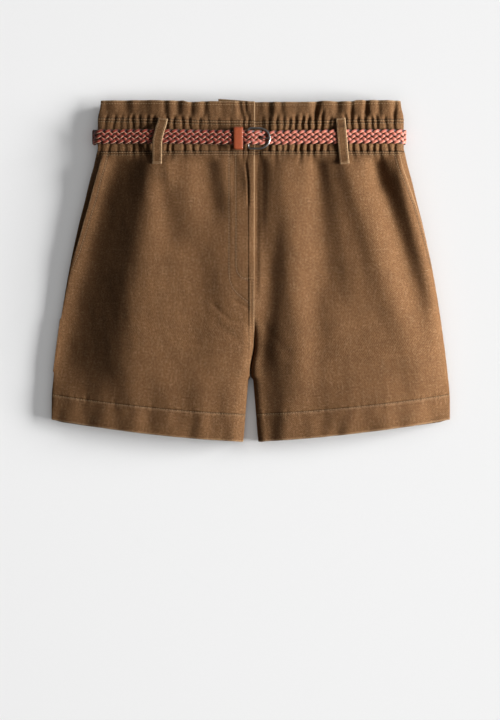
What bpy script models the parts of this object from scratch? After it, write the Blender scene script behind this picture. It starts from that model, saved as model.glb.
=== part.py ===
"""Belted paper-bag shorts, laid flat on their back.

+X is to the right and +Y towards the waist as the front is looked at, +Z is away from
the surface that the shorts lie on. Lengths named "down" are measured along the cloth
from the top of the frill towards the hem. All tables are in millimetres.
"""
import bmesh
import bpy
import numpy as np
from mathutils import Matrix, Vector

MM = 0.001

# Driving sizes, in millimetres.
LENGTH = 400.0            # top of the frill to the lowest point of the hem
WALL = 1.2                # one layer of twill
HEM_WALL = 2.4            # the turned-up hem is two layers
GAP = 0.3                 # between neighbouring pieces
LAP = WALL + GAP          # how far a piece lies under the one that overlaps it
CENTRE = LENGTH / 2       # down from the top to the middle of the garment

WAIST_SEAM = 59.0         # down to the seam between waistband and panels
CASING_TOP = 20.5         # down to the stitching above the elastic
CASING_FOOT = 56.0        # down to the stitching below the elastic
HEM_DEPTH = 31.0
HEM_AT_SIDE = 374.0       # down to the hem's edge at the side seam
CROTCH = 320.0            # down to the lowest point of the crotch
FLY_EDGE = 4.4            # x of the overlapping edge at the centre front
FLY_FOOT = 208.0          # down to the bar tack that ends the fly opening
FLY_UNDER = 10.0          # how far the left front runs on under the fly edge
FLY_SLACK = 0.6
UNDERLAP = 42.0           # how far the waistband runs on under the fly edge
INSEAM_HEIGHT = 7.5

# The ring of the garment at each height: half its width, the height of its side seam,
# of the front between its folds, and of the back above the surface it lies on, and the
# widths over which front and back turn to the side seam.
RINGS_NAMES = ("down", "half_width", "seam", "top", "bottom", "front_round", "back_round")
RINGS = (
    (0.0, 175.5, 9.5, 20.0, 0.8, 10.0, 8.0),
    (10.0, 176.5, 11.0, 20.5, 2.9, 10.0, 8.0),
    (20.0, 178.6, 12.2, 21.5, 5.5, 10.0, 8.0),
    (24.0, 179.0, 12.2, 21.5, 5.5, 10.0, 8.0),
    (57.0, 179.0, 12.2, 21.5, 5.5, 10.0, 8.0),
    (64.0, 180.6, 11.8, 23.0, 3.8, 11.0, 8.5),
    (77.0, 183.6, 10.6, 25.5, 1.0, 14.0, 10.0),
    (94.0, 188.4, 9.6, 27.0, 0.0, 18.0, 12.0),
    (118.0, 194.2, 9.0, 27.5, 0.0, 18.0, 12.0),
    (147.0, 201.6, 9.0, 27.5, 0.0, 18.0, 12.0),
    (205.0, 213.8, 9.0, 27.0, 0.0, 18.0, 12.0),
    (264.0, 223.4, 9.0, 26.0, 0.0, 18.0, 12.0),
    (322.0, 230.8, 9.0, 25.0, 0.0, 18.0, 12.0),
    (351.0, 233.2, 9.0, 23.5, 0.0, 18.0, 12.0),
    (400.0, 233.5, 8.5, 21.0, 0.0, 18.0, 12.0),
)
INNER_ROUND = 30.0        # the same at the inside of the leg
INNER_BACK_ROUND = 12.0
CROWN = 0.10              # how much the front falls from its middle to its sides

# Half the gap between the legs below the crotch.
LEG_GAP_NAMES = ("down", "half_gap")
LEG_GAP = ((320.0, 0.0), (327.0, 4.4), (345.0, 5.4), (366.0, 6.8), (400.0, 8.5))

# How far the pocket opening's edge lies inside the silhouette.
POCKET_NAMES = ("down", "inset")
POCKET = ((59.0, 7.4), (80.0, 7.4), (110.0, 6.2), (150.0, 4.6), (185.0, 1.6), (196.0, 0.0), (400.0, 0.0))
POCKET_FOOT = 196.0
POCKET_UNDER = 16.0       # how far the facing runs on under the pocket's edge
FACING_SLACK = 0.6

# Folds of the front: a ridge (height over 0) or trough along a line, each end's place
# and half width, and how it fades in and out along the line.
FOLD_NAMES = ("x0", "down0", "x1", "down1", "width0", "width1", "height", "fade")
FOLDS = (
    (-136.0, 50.0, -192.0, 300.0, 13.0, 20.0, -9.0, 40.0),    # trough under the left loop
    (-98.0, 60.0, -146.0, 300.0, 17.0, 30.0, 5.5, 60.0),      # main ridge of the left leg
    (-114.0, 90.0, -98.0, 170.0, 7.0, 10.0, -3.5, 25.0),
    (-76.0, 60.0, -66.0, 140.0, 14.0, 16.0, 2.0, 30.0),
    (-42.0, 58.0, -34.0, 130.0, 7.0, 9.0, -2.2, 30.0),
    (-13.0, 58.0, -8.5, 150.0, 4.5, 5.0, -2.6, 30.0),         # crease beside the fly edge
    (-45.0, 236.0, -5.0, 268.0, 4.0, 3.5, -1.5, 10.0),        # drag line to the crotch
    (13.0, 60.0, 13.0, 300.0, 6.5, 8.0, -3.5, 40.0),          # valley beside the fly
    (30.0, 60.0, 42.0, 380.0, 13.0, 22.0, 3.0, 40.0),         # inner ridge of the right leg
    (72.0, 50.0, 88.0, 230.0, 9.0, 15.0, -5.0, 40.0),
    (106.0, 60.0, 142.0, 270.0, 13.0, 24.0, 4.5, 50.0),       # main ridge of the right leg
    (141.0, 54.0, 182.0, 220.0, 9.0, 12.0, -6.5, 30.0),       # trough beside the right pocket
    (78.0, 270.0, 84.0, 380.0, 10.0, 12.0, -1.8, 30.0),
)
HEM_WAVES = 13            # soft undulations along each pair of hems
HEM_WAVE_DEPTH = 0.8

# Gathers of the elastic casing, and the soft folds of the frill above it.
FRONT_GATHERS = 16        # on each half of the front
BACK_GATHERS = 30
GATHER_FROM = 20.0        # the fly's end of the gathers, from the centre
GATHER_TO = 160.0
GATHER_DEPTH = 1.7
GATHER_CREST = (0.12, 0.62)   # the share of a gather that stands full height
GATHER_TROUGH = 0.87
STITCH_SINK = 0.5
FRILL_NAMES = ("x", "width", "depth")
FRONT_FRILL = (
    (-160.0, 5.0, 2.0), (-138.0, 5.0, 2.6), (-121.0, 5.5, 4.2), (-100.0, 4.5, 2.2),
    (-80.0, 5.5, 3.6), (-62.0, 4.0, 1.6), (-45.0, 5.5, 3.2), (-22.0, 4.5, 1.6),
    (21.0, 6.0, 4.4), (43.0, 4.5, 1.6), (58.0, 4.0, 1.8), (77.0, 5.5, 4.2),
    (99.0, 5.0, 3.0), (116.0, 4.5, 1.8), (136.0, 5.5, 4.4), (160.0, 5.0, 1.6),
)
BACK_FRILL = (
    (-150.0, 6.0, 2.4), (-122.0, 6.0, 3.0), (-97.0, 5.0, 2.0), (-70.0, 6.5, 3.4),
    (-41.0, 5.5, 2.4), (-14.0, 6.0, 3.2), (12.0, 5.0, 2.0), (38.0, 6.5, 3.2),
    (66.0, 5.5, 2.6), (92.0, 6.0, 3.4), (119.0, 5.0, 2.0), (148.0, 6.0, 2.6),
)

# The braided belt.
BELT_WIDTH = 18.0
BELT_THICK = 3.0
BELT_DOWN = 43.4          # down to the belt's middle at the sides
BELT_SAG = 1.9            # how much lower it hangs at the centre front
BELT_SAG_REACH = 80.0
BELT_GAP = 0.35
BRAID_PITCH = 8.9         # length of one crossing of the braid
BRAID_ROW = 2.7           # from one row of crossings to the next
BRAID_ROWS = 5
BRAID_DIP = 0.8
PLAIN_STEP = 14.0         # section spacing where the belt is hidden or rests flat
TURN_STEP = 2.4           # the same round the sides
TURN_REACH = 17.0
TAIL_END_TURN = 0.54      # share of the left side's turn that the free end reaches
TIP_LENGTH = 13.0

# The buckle: a horseshoe of wire, its prong, the tab that holds it, and the keeper.
BUCKLE_DOWN = 46.4
WIRE = 1.2                # radius of the frame's wire
BAR_X = -3.0
BAR_RISE = 3.75           # height of the bar above the waistband
END_X = 22.0
END_RISE = 4.85
FRAME_HALF = 11.85
PRONG_HALF = 0.9
PRONG_SLOT = (0.5, 16.5)  # x of the slit that the prong passes through in the strap
KEEPER_X = (-20.0, -9.0)
KEEPER_HALF = 13.2
KEEPER_WALL = 1.3
TAB_END = -20.3
TAB_HALF = 7.6

# Height of the strap's middle above the waistband, along its way from the tab round
# the back and over the buckle: x on the front's upper layer, and the rise.
STRAP_LOW = BELT_GAP + BELT_THICK / 2
STRAP_HIGH = STRAP_LOW + BELT_THICK + GAP
KEEPER_LIFT = 1.9
UNDER_RISE = ((TAB_END, STRAP_LOW + KEEPER_LIFT), (-26.0, STRAP_LOW + KEEPER_LIFT), (-52.0, STRAP_LOW))
OVER_RISE = (
    (27.0, STRAP_LOW), (22.0, STRAP_LOW), (12.0, STRAP_LOW + 2.2), (-3.0, STRAP_HIGH + KEEPER_LIFT + 1.2),
    (-10.0, STRAP_HIGH + KEEPER_LIFT), (-26.0, STRAP_HIGH + KEEPER_LIFT), (-52.0, STRAP_HIGH),
)

# Belt loops: x of the top and foot, and how many layers of belt they pass over.
LOOP_WIDTH = 10.0
LOOP_NAMES = ("name", "x_top", "x_foot", "foot_down", "layers", "on_front")
LOOPS = (
    ("belt_loop_front_right", -102.0, -109.0, 77.0, 2, True),
    ("belt_loop_front_left", 104.5, 109.0, 77.0, 1, True),
    ("belt_loop_back_right", -100.0, -100.0, 66.5, 1, False),
    ("belt_loop_back_centre", 0.0, 0.0, 66.5, 1, False),
    ("belt_loop_back_left", 100.0, 100.0, 66.5, 1, False),
)
LOOP_TOP = 23.0

COLOURS = {
    "cloth": (0.19, 0.105, 0.047, 1.0),
    "braid": (0.44, 0.13, 0.085, 1.0),
    "strap_leather": (0.42, 0.09, 0.03, 1.0),
    "metal": (0.62, 0.62, 0.60, 1.0),
}


# ---------------------------------------------------------------- smooth tables

def column(table, names, name):
    return np.array([row[names.index(name)] for row in table], float)


def smooth(at, x, y):
    """Monotone cubic through the points (x, y), so that it never overshoots them."""
    at = np.asarray(at, float)
    step = np.diff(x)
    slope = np.diff(y) / step
    tangent = np.zeros(len(x))
    both = slope[:-1] * slope[1:]
    harmonic = 2 * both / np.where(both > 0, slope[:-1] + slope[1:], 1.0)
    tangent[1:-1] = np.where(both > 0, harmonic, 0.0)
    tangent[0], tangent[-1] = slope[0], slope[-1]
    i = np.clip(np.searchsorted(x, at, side="right") - 1, 0, len(x) - 2)
    t = np.clip((at - x[i]) / step[i], 0.0, 1.0)
    return (
        y[i] * (1 + 2 * t) * (1 - t) ** 2 + y[i + 1] * t * t * (3 - 2 * t)
        + step[i] * t * (1 - t) * (tangent[i] * (1 - t) - tangent[i + 1] * t)
    )


def ring(down, name):
    return smooth(down, column(RINGS, RINGS_NAMES, "down"), column(RINGS, RINGS_NAMES, name))


def ease(value, start, end):
    """0 before start, 1 after end, and smooth between."""
    t = np.clip((np.asarray(value, float) - start) / (end - start), 0.0, 1.0)
    return t * t * (3 - 2 * t)


# ---------------------------------------------------------------- shape of the cloth

def quarter(c):
    """Height share of a quarter turn, 0 at the seam and 1 from c = 1 on."""
    return np.sin(np.minimum(c, 1.0) * np.pi / 2)


def across(c, span, outer, inner, leg_share=0.0):
    """Distance in from the silhouette: c from 0 to 1 turns round the side seam, 1 to 2
    crosses the panel, and 2 to 3 runs flat, or turns down to the inside of the leg."""
    side = outer * (1 - np.cos(np.minimum(c, 1.0) * np.pi / 2))
    flat = outer + np.clip(c - 1, 0, 1) * (span - outer - inner)
    turned = 1 - np.cos((3 - c) * np.pi / 2)
    leg = span - inner * ((3 - c) * (1 - leg_share) + turned * leg_share)
    return np.where(c <= 1, side, np.where(c <= 2, flat, leg))


def folds(x, down):
    """Sum of the folds of the front at a place."""
    total = np.zeros(np.broadcast(x, down).shape)
    for x0, down0, x1, down1, width0, width1, height, fade in FOLDS:
        length = np.hypot(x1 - x0, down1 - down0)
        along = ((x - x0) * (x1 - x0) + (down - down0) * (down1 - down0)) / length
        aside = ((x - x0) * (down1 - down0) - (down - down0) * (x1 - x0)) / length
        share = np.clip(along / length, 0, 1)
        width = width0 + (width1 - width0) * share
        strength = ease(along, -2.0, fade / 3) * (1 - ease(along, length - fade, length + fade))
        total = total + height * strength * np.exp(-((aside / width) ** 2))
    waves = HEM_WAVE_DEPTH * np.sin(x / 233.5 * np.pi * HEM_WAVES + 0.8 * np.sin(x / 37.0))
    return total + waves * ease(down, 300, 390)


def crown(x, down):
    return 1 - CROWN * (x / ring(down, "half_width")) ** 2


def leg_share(down):
    """0 where the two fronts are joined, 1 where each is a leg with its own inner turn."""
    return ease(down, 245.0, 308.0)


def front_height(x, down, side=1.0, inner=1.0):
    """Height of the front's outer face; side and inner are the rises at its two turns."""
    seam = ring(down, "seam") + (INSEAM_HEIGHT - ring(down, "seam")) * (1 - inner)
    full = ring(down, "top") * crown(x, down) + folds(x, down) * ease(down, WAIST_SEAM, 77.0)
    rise = side * (1 - leg_share(down) * (1 - inner))
    return seam + (full - seam) * rise


def fly_edge(down):
    """x of the centre front edge, which meets the middle at the crotch."""
    return FLY_EDGE * (1 - ease(down, 285.0, CROTCH - 2))


def leg_inner(down):
    """Half the gap between the legs, 0 above the crotch."""
    return smooth(down, column(LEG_GAP, LEG_GAP_NAMES, "down"), column(LEG_GAP, LEG_GAP_NAMES, "half_gap"))


def hem_down(share):
    """Down to the hem's edge, share 0 at the side seam and 1 at the inseam."""
    return HEM_AT_SIDE + (LENGTH - HEM_AT_SIDE) * (1 - (1 - np.clip(share, 0, 1)) ** 1.6)


def panel_down(c, row, top=WAIST_SEAM + GAP):
    """Down for a column and a row, where a row is named by its down at the inner edge."""
    span = ring(LENGTH, "half_width") - leg_inner(LENGTH)
    reach = across(c, span, ring(LENGTH, "front_round"), INNER_ROUND, 1.0)
    foot = hem_down(reach / span)
    return top + (foot - top) * (row - top) / (LENGTH - top)


def panel_wall(c, row):
    stitch = LENGTH - HEM_DEPTH - 1.0
    return WALL + (HEM_WALL - WALL) * ease(row, stitch, stitch + 1.5)


def pocket_inset(down):
    return smooth(down, column(POCKET, POCKET_NAMES, "down"), column(POCKET, POCKET_NAMES, "inset"))


def front_panel(c, row, hand, edge, drop):
    """A front panel's outer face. hand is -1 on the left of the picture and +1 on the
    right, edge(down) is x of its inner edge above the crotch, and drop(down) how far that
    edge lies under the other front."""
    down = panel_down(c, row)
    turn = ring(down, "front_round")
    start = np.arccos(1 - pocket_inset(down) / turn) / (np.pi / 2)
    c = np.where(c <= 1, start + (1 - start) * c, c)
    inner_x = np.where(down < CROTCH, edge(down), hand * np.maximum(leg_inner(down), GAP / 2))
    width = ring(down, "half_width")
    span = width - hand * inner_x
    x = hand * (width - across(c, span, turn, INNER_ROUND, leg_share(down)))
    z = front_height(x, down, quarter(c), quarter(3 - c))
    z = z - drop(down) * (1 - ease(np.abs(x - inner_x), FLY_UNDER + 1.5, FLY_UNDER + 7.5))
    z = z + np.where(quarter(c) < 1, GAP / 2, 0.0) * (1 - quarter(c)) + GAP / 2 * (1 - quarter(3 - c))
    return np.stack([x, CENTRE - down, z], -1)


def back_panel(c, row, hand):
    """A back panel's outer face, which faces down and rests flat."""
    down = panel_down(c, row)
    width = ring(down, "half_width")
    centre_x = hand * np.maximum(leg_inner(down), GAP / 2)
    lift = ease(down, 286.0, CROTCH - 2)
    span = width - abs(centre_x)
    x = hand * (width - across(c, span, ring(down, "back_round"), INNER_BACK_ROUND, lift))
    seam, bottom = ring(down, "seam"), ring(down, "bottom")
    side = seam - (seam - bottom) * quarter(c) - GAP / 2 * (1 - quarter(c))
    inner = (INSEAM_HEIGHT - GAP / 2) * lift * (1 - quarter(3 - c))
    return np.stack([x, CENTRE - down, side + inner], -1)


def pocket_facing(c, down, hand):
    """The strip that shows between the pocket's edge and the side seam. It starts at the
    silhouette and sinks to lie under the panel before it reaches the pocket's edge."""
    width, seam, turn_width = ring(down, "half_width"), ring(down, "seam"), ring(down, "front_round")
    reach = np.minimum(pocket_inset(down) + POCKET_UNDER, turn_width)
    edge = np.arccos(1 - pocket_inset(down) / turn_width)
    turn = np.arccos(1 - reach / turn_width) * c
    s = turn_width * (1 - np.cos(turn))
    x = hand * (width - s)
    rise = ring(down, "top") * crown(x, down) + folds(x, down) * ease(down, WAIST_SEAM, 77.0) - seam
    inward = np.stack([rise * np.cos(turn), turn_width * np.sin(turn)])
    inward = inward / np.linalg.norm(inward, axis=0) * (LAP + FACING_SLACK) * ease(turn / edge, 0.0, 0.75)
    z = seam + rise * np.sin(turn) + GAP / 2 - inward[1]
    return np.stack([x - hand * inward[0], CENTRE - down, z], -1)


# ---------------------------------------------------------------- waistband

def gather_depth(x, pitch_count, start, end):
    """Depth of the elastic's gathers: flat crests with narrow troughs between them."""
    q = (np.abs(x) - start) / (end - start) * pitch_count
    share = q - np.floor(q)
    away = np.abs(share - GATHER_TROUGH)
    away = np.minimum(away, 1 - away)
    inside = (q > -0.2) & (q < pitch_count + 0.1)
    return np.where(inside, np.clip(1 - away / (GATHER_TROUGH - GATHER_CREST[1]), 0, 1), 0.0)


def frill(x, down, table):
    """Depth of the soft folds of the frill, fading out at the stitching."""
    depth = np.zeros(np.broadcast(x, down).shape)
    for at, width, deep in table:
        depth = depth + deep * np.exp(-(((x - at) / width) ** 2))
    return depth * ease(CASING_TOP - down, 0.0, 14.0)


def pinch(down):
    """The two rows of stitching sink into the cloth."""
    near = np.exp(-(((down - CASING_TOP) / 1.6) ** 2)) + np.exp(-(((down - CASING_FOOT) / 1.6) ** 2))
    return STITCH_SINK * near


def band_front(c, down, hand, inner_x, drop):
    """One half of the front waistband. drop is how far it lies under the other half."""
    width = ring(down, "half_width")
    s = across(c, width - hand * inner_x, ring(down, "front_round"), 0.0)
    x = hand * (width - s)
    seam = ring(down, "seam")
    full = ring(down, "top") * crown(x, down)
    casing = ease(down, CASING_TOP - 5, CASING_TOP + 2)
    depth = GATHER_DEPTH * gather_depth(x, FRONT_GATHERS, GATHER_FROM, GATHER_TO) * casing
    depth = depth + frill(x, down, FRONT_FRILL) + pinch(down)
    under = 1 - ease(x, FLY_EDGE + 3.0, FLY_EDGE + 14.0) if drop else 0.0
    depth = depth * (1 - under) + (drop + GATHER_DEPTH + STITCH_SINK) * under
    z = seam + (full - depth - seam) * quarter(c) + GAP / 2 * (1 - quarter(c))
    return np.stack([x, CENTRE - down, z], -1)


def band_back(c, down):
    """c runs from -2 at the left silhouette to +2 at the right one."""
    hand = np.where(c < 0, -1.0, 1.0)
    turn = 2 - np.abs(c)
    width = ring(down, "half_width")
    x = hand * (width - across(turn, width, ring(down, "back_round"), 0.0))
    seam, bottom = ring(down, "seam"), ring(down, "bottom")
    depth = GATHER_DEPTH * gather_depth(x, BACK_GATHERS / 2, 0.0, GATHER_TO)
    depth = depth * ease(down, CASING_TOP - 5, CASING_TOP + 2)
    depth = depth + frill(x, down, BACK_FRILL) + pinch(down)
    full = bottom + depth
    z = seam - (seam - full) * quarter(turn) - GAP / 2 * (1 - quarter(turn))
    return np.stack([x, CENTRE - down, z], -1)


# ---------------------------------------------------------------- meshes

def link(name, mesh, finish):
    obj = bpy.data.objects.new(name, mesh)
    mesh.materials.append(material(finish))
    garment.objects.link(obj)
    return obj


def material(finish):
    found = bpy.data.materials.get(finish)
    if found:
        return found
    made = bpy.data.materials.new(finish)
    made.use_nodes = True
    shader = made.node_tree.nodes["Principled BSDF"]
    shader.inputs["Base Color"].default_value = COLOURS[finish]
    shader.inputs["Roughness"].default_value = {"cloth": 0.9, "braid": 0.5, "strap_leather": 0.45}.get(finish, 0.25)
    shader.inputs["Metallic"].default_value = 1.0 if finish == "metal" else 0.0
    return made


def closed_mesh(name, points, faces):
    """A mesh in metres with its faces turned outwards."""
    mesh = bpy.data.meshes.new(name)
    mesh.from_pydata((np.asarray(points) * MM).tolist(), [], faces)
    shell = bmesh.new()
    shell.from_mesh(mesh)
    bmesh.ops.recalc_face_normals(shell, faces=shell.faces)
    if shell.calc_volume(signed=True) < 0:
        bmesh.ops.reverse_faces(shell, faces=shell.faces)
    shell.to_mesh(mesh)
    shell.free()
    mesh.shade_smooth()
    mesh.set_sharp_from_angle(angle=0.7)
    return mesh


def cloth_wall(name, shape, columns, rows, wall, side=1.0):
    """A wall of cloth: shape(column, row) is its outer face, and the inner face lies
    wall(column, row) behind it. side is -1 where the face is seen from behind."""
    c, r = np.meshgrid(columns, rows, indexing="ij")
    outer = shape(c, r)
    along_c = shape(c + 1e-4, r) - shape(c - 1e-4, r)
    along_r = shape(c, r + 1e-3) - shape(c, r - 1e-3)
    normal = np.cross(along_c, along_r)
    normal /= np.linalg.norm(normal, axis=-1, keepdims=True)
    inner = outer - side * normal * wall(c, r)[..., None]
    across_count, down_count = outer.shape[:2]
    points = np.concatenate([outer.reshape(-1, 3), inner.reshape(-1, 3)])
    index = np.arange(across_count * down_count).reshape(across_count, down_count)
    under = index + across_count * down_count
    faces = []
    for i in range(across_count - 1):
        for j in range(down_count - 1):
            faces.append((index[i, j], index[i + 1, j], index[i + 1, j + 1], index[i, j + 1]))
            faces.append((under[i, j], under[i, j + 1], under[i + 1, j + 1], under[i + 1, j]))
    edge = [(i, 0) for i in range(across_count)]
    edge += [(across_count - 1, j) for j in range(1, down_count)]
    edge += [(i, down_count - 1) for i in range(across_count - 2, -1, -1)]
    edge += [(0, j) for j in range(down_count - 2, 0, -1)]
    for a, b in zip(edge, edge[1:] + edge[:1]):
        faces.append((index[a], under[a], under[b], index[b]))
    faces = [tuple(int(v) for v in face) for face in faces]
    return link(name, closed_mesh(name, points, faces), "cloth")


def loft(name, sections, finish):
    """A solid through closed sections that all have the same number of points."""
    sections = np.asarray(sections, float)
    count, size = sections.shape[:2]
    faces = []
    for i in range(count - 1):
        for j in range(size):
            k = (j + 1) % size
            faces.append((i * size + j, i * size + k, (i + 1) * size + k, (i + 1) * size + j))
    faces.append(tuple(range(size - 1, -1, -1)))
    faces.append(tuple((count - 1) * size + j for j in range(size)))
    return link(name, closed_mesh(name, sections.reshape(-1, 3), faces), finish)


# ---------------------------------------------------------------- panels

SIDE_COLUMNS = np.array([0.0, 0.25, 0.5, 0.75])
INNER_COLUMNS = np.array([2.0, 2.2, 2.4, 2.62, 2.8, 3.0])
PANEL_ROWS = np.array([
    WAIST_SEAM + GAP, 66, 75, 87, 102, 120, 141, 164, 187, 200, 213, 224, 240, 258, 273,
    286, 296, 305, 313, CROTCH, 326, 336, 352, LENGTH - HEM_DEPTH - 1, LENGTH - HEM_DEPTH + 0.5,
    384, LENGTH,
])
BACK_ROWS = np.array([
    WAIST_SEAM + GAP, 66, 76, 94, 130, 170, 215, 260, 288, 300, 311, CROTCH, 326, 342,
    LENGTH - HEM_DEPTH - 1, LENGTH - HEM_DEPTH + 0.5, LENGTH,
])


def front_panels():
    columns = np.concatenate([SIDE_COLUMNS, np.linspace(1, 2, 11)[:-1], INNER_COLUMNS])

    def right_front_edge(down):
        return fly_edge(down) - GAP / 2

    def left_front_edge(down):
        under = 1 - ease(down, FLY_FOOT - 8, FLY_FOOT + 3)
        return fly_edge(down) + GAP / 2 - under * FLY_UNDER

    def left_front_drop(down):
        return (LAP + FLY_SLACK) * (1 - ease(down, FLY_FOOT + 5, FLY_FOOT + 15))

    cloth_wall(
        "front_right_panel",
        lambda c, r: front_panel(c, r, -1, right_front_edge, lambda down: 0.0 * down),
        columns, PANEL_ROWS, panel_wall, side=-1.0,
    )
    cloth_wall(
        "front_left_panel",
        lambda c, r: front_panel(c, r, 1, left_front_edge, left_front_drop),
        columns, PANEL_ROWS, panel_wall, side=1.0,
    )


def back_panels():
    columns = np.concatenate([SIDE_COLUMNS, [1.0, 1.35, 1.7], [2.0, 2.35, 2.7, 3.0]])
    for name, hand in (("back_right_panel", -1), ("back_left_panel", 1)):
        cloth_wall(
            name, lambda c, r, h=hand: back_panel(c, r, h), columns, BACK_ROWS, panel_wall,
            side=1.0 if hand < 0 else -1.0,
        )


def pocket_facings():
    columns = np.array([0.0, 0.2, 0.4, 0.6, 0.8, 1.0])
    rows = np.array([WAIST_SEAM + GAP, 75, 95, 120, 150, 175, POCKET_FOOT - 8])
    for name, hand in (("pocket_facing_right", -1), ("pocket_facing_left", 1)):
        cloth_wall(
            name, lambda c, r, h=hand: pocket_facing(c, r, h), columns, rows,
            lambda c, r: WALL + 0 * c, side=-1.0 if hand < 0 else 1.0,
        )


def waistbands():
    rows = np.array([2.0, 8.0, 14.0, CASING_TOP, 24.0, 39.0, 53.0, CASING_FOOT, WAIST_SEAM])
    marks = np.array([k + f for k in range(FRONT_GATHERS) for f in (*GATHER_CREST, GATHER_TROUGH)])
    marks_x = GATHER_FROM + marks / FRONT_GATHERS * (GATHER_TO - GATHER_FROM)
    side_c = np.array([0.0, 0.25, 0.5, 0.75, 1.0])
    width = ring(CASING_TOP, "half_width")
    turn = ring(CASING_TOP, "front_round")

    def gathered(inner_x, hand):
        return 1 + (width - turn - marks_x[::-1]) / (width - hand * inner_x - turn)

    right_c = np.concatenate([side_c, gathered(FLY_EDGE, -1), [1.92, 1.96, 2.0]])
    cloth_wall(
        "waistband_front_right",
        lambda c, r: band_front(c, r, -1, FLY_EDGE, 0.0), right_c, rows, lambda c, r: WALL + 0 * c, side=-1.0,
    )
    under_x = FLY_EDGE - UNDERLAP
    left_c = gathered(under_x, 1)
    lap_c = np.linspace(left_c[-1], 2.0, 9)[1:]
    cloth_wall(
        "waistband_front_left",
        lambda c, r: band_front(c, r, 1, under_x, LAP), np.concatenate([side_c, left_c, lap_c]),
        np.concatenate([[0.0], rows[1:]]), lambda c, r: WALL + 0 * c, side=1.0,
    )
    back_marks = np.array([k + f for k in range(BACK_GATHERS // 2) for f in (*GATHER_CREST, GATHER_TROUGH)])
    back_x = back_marks / (BACK_GATHERS / 2) * GATHER_TO
    turn = ring(CASING_TOP, "back_round")
    back_turn = 1 + (width - turn - back_x) / (width - turn)
    half = np.sort(np.concatenate([2 - back_turn, [0.999, 1.25, 1.5, 1.75, 2.0]]))
    half = half[half > 0.001]
    cloth_wall(
        "waistband_back", band_back, np.concatenate([-half[::-1], half]),
        np.array([1.0, 8.0, 14.0, CASING_TOP, 25.0, 53.0, WAIST_SEAM]), lambda c, r: WALL + 0 * c, side=1.0,
    )


# ---------------------------------------------------------------- belt

def waist_ring():
    """The waistband's outer ring at the belt: points (x, z) and outward normals, from the
    centre front to the left silhouette, under the back and up the right side."""
    down = BELT_DOWN
    turn = np.linspace(0, 1, 13)[1:]
    width, seam = ring(down, "half_width"), ring(down, "seam")
    front_turn, back_turn = ring(down, "front_round"), ring(down, "back_round")
    top, bottom = ring(down, "top"), ring(down, "bottom")
    flat_x = np.linspace(0, width - front_turn, 60)
    side_x = width - front_turn * (1 - np.cos((1 - turn) * np.pi / 2))
    front_x = np.concatenate([flat_x, side_x])
    rise = np.concatenate([np.ones(60), np.sin((1 - turn) * np.pi / 2)])
    front_z = seam + (top * crown(front_x, down) - seam) * rise
    under_x = width - back_turn * (1 - np.cos(turn * np.pi / 2))
    under_z = seam - (seam - bottom) * np.sin(turn * np.pi / 2)
    back_x = np.linspace(width - back_turn, 0, 40)[1:]
    half_x = np.concatenate([front_x, under_x, back_x])
    half_z = np.concatenate([front_z, under_z, np.full(39, bottom)])
    x = np.concatenate([-half_x, half_x[::-1][1:]])
    z = np.concatenate([half_z, half_z[::-1][1:]])
    return np.stack([x, z], -1), len(front_x)


class Belt:
    """Places on the belt's ring by distance walked from the centre front, leftwards."""

    def __init__(self):
        self.ring, self.front_count = waist_ring()
        step = np.linalg.norm(np.diff(self.ring, axis=0), axis=1)
        self.walk = np.concatenate([[0.0], np.cumsum(step)])
        self.length = self.walk[-1]

    def at(self, walk, rise):
        """Point (x, z) that lies rise outside the ring, and the outward normal."""
        walk = np.mod(np.asarray(walk, float), self.length)
        place = lambda w: np.stack([
            np.interp(np.mod(w, self.length), self.walk, self.ring[:, 0]),
            np.interp(np.mod(w, self.length), self.walk, self.ring[:, 1])], -1)
        ahead = place(walk + 1.5) - place(walk - 1.5)
        ahead /= np.linalg.norm(ahead, axis=-1, keepdims=True)
        normal = np.stack([ahead[..., 1], -ahead[..., 0]], -1)
        return place(walk) + normal * np.asarray(rise)[..., None], normal

    def walk_at_front(self, x):
        """Walk to a place on the front: x below 0 is on the way out, above 0 on the way back."""
        if x <= 0:
            front = slice(0, self.front_count)
            return float(np.interp(-x, -self.ring[front, 0], self.walk[front]))
        return self.length - self.walk_at_front(-x)


    def turns(self):
        """Walks at which the belt passes a silhouette: left, right, and left again."""
        left = self.walk[np.argmin(self.ring[:, 0])]
        return left, self.length - left, self.length + left


def belt_down(x, z):
    """Down to the belt's middle: it sags a little at the centre front."""
    on_front = ease(z, 10.0, 16.0)
    return BELT_DOWN + BELT_SAG * np.exp(-((x / BELT_SAG_REACH) ** 2)) * on_front


def strap_rise(belt, walk):
    """Height of the strap's middle above the waistband along its whole way."""
    under = [(belt.walk_at_front(x), rise) for x, rise in UNDER_RISE]
    over = []
    for x, rise in OVER_RISE:
        lap = 0.0 if x > 0 else belt.length
        over.append((belt.walk_at_front(x) + lap, rise))
    table = np.array(under + over)
    return smooth(walk, table[:, 0], table[:, 1])


def strap_section(belt, walk, rise, thick_out, edge_out):
    """One section of the strap: outer points from one edge to the other, then the inner
    two. thick_out holds the outer face's height above the strap's inner face."""
    (x, z), normal = belt.at(walk, rise - BELT_THICK / 2)
    middle = CENTRE - belt_down(x, z)
    rows = np.arange(BRAID_ROWS) - (BRAID_ROWS - 1) / 2
    y_outer = np.concatenate([[-BELT_WIDTH / 2 + edge_out[0]], rows * BRAID_ROW, [BELT_WIDTH / 2 - edge_out[1]]])
    section = [
        (x + normal[0] * t, middle + y, z + normal[1] * t) for y, t in zip(y_outer, thick_out)
    ]
    section.append((x, middle + BELT_WIDTH / 2 - 0.6, z))
    section.append((x, middle - BELT_WIDTH / 2 + 0.6, z))
    return section


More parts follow.
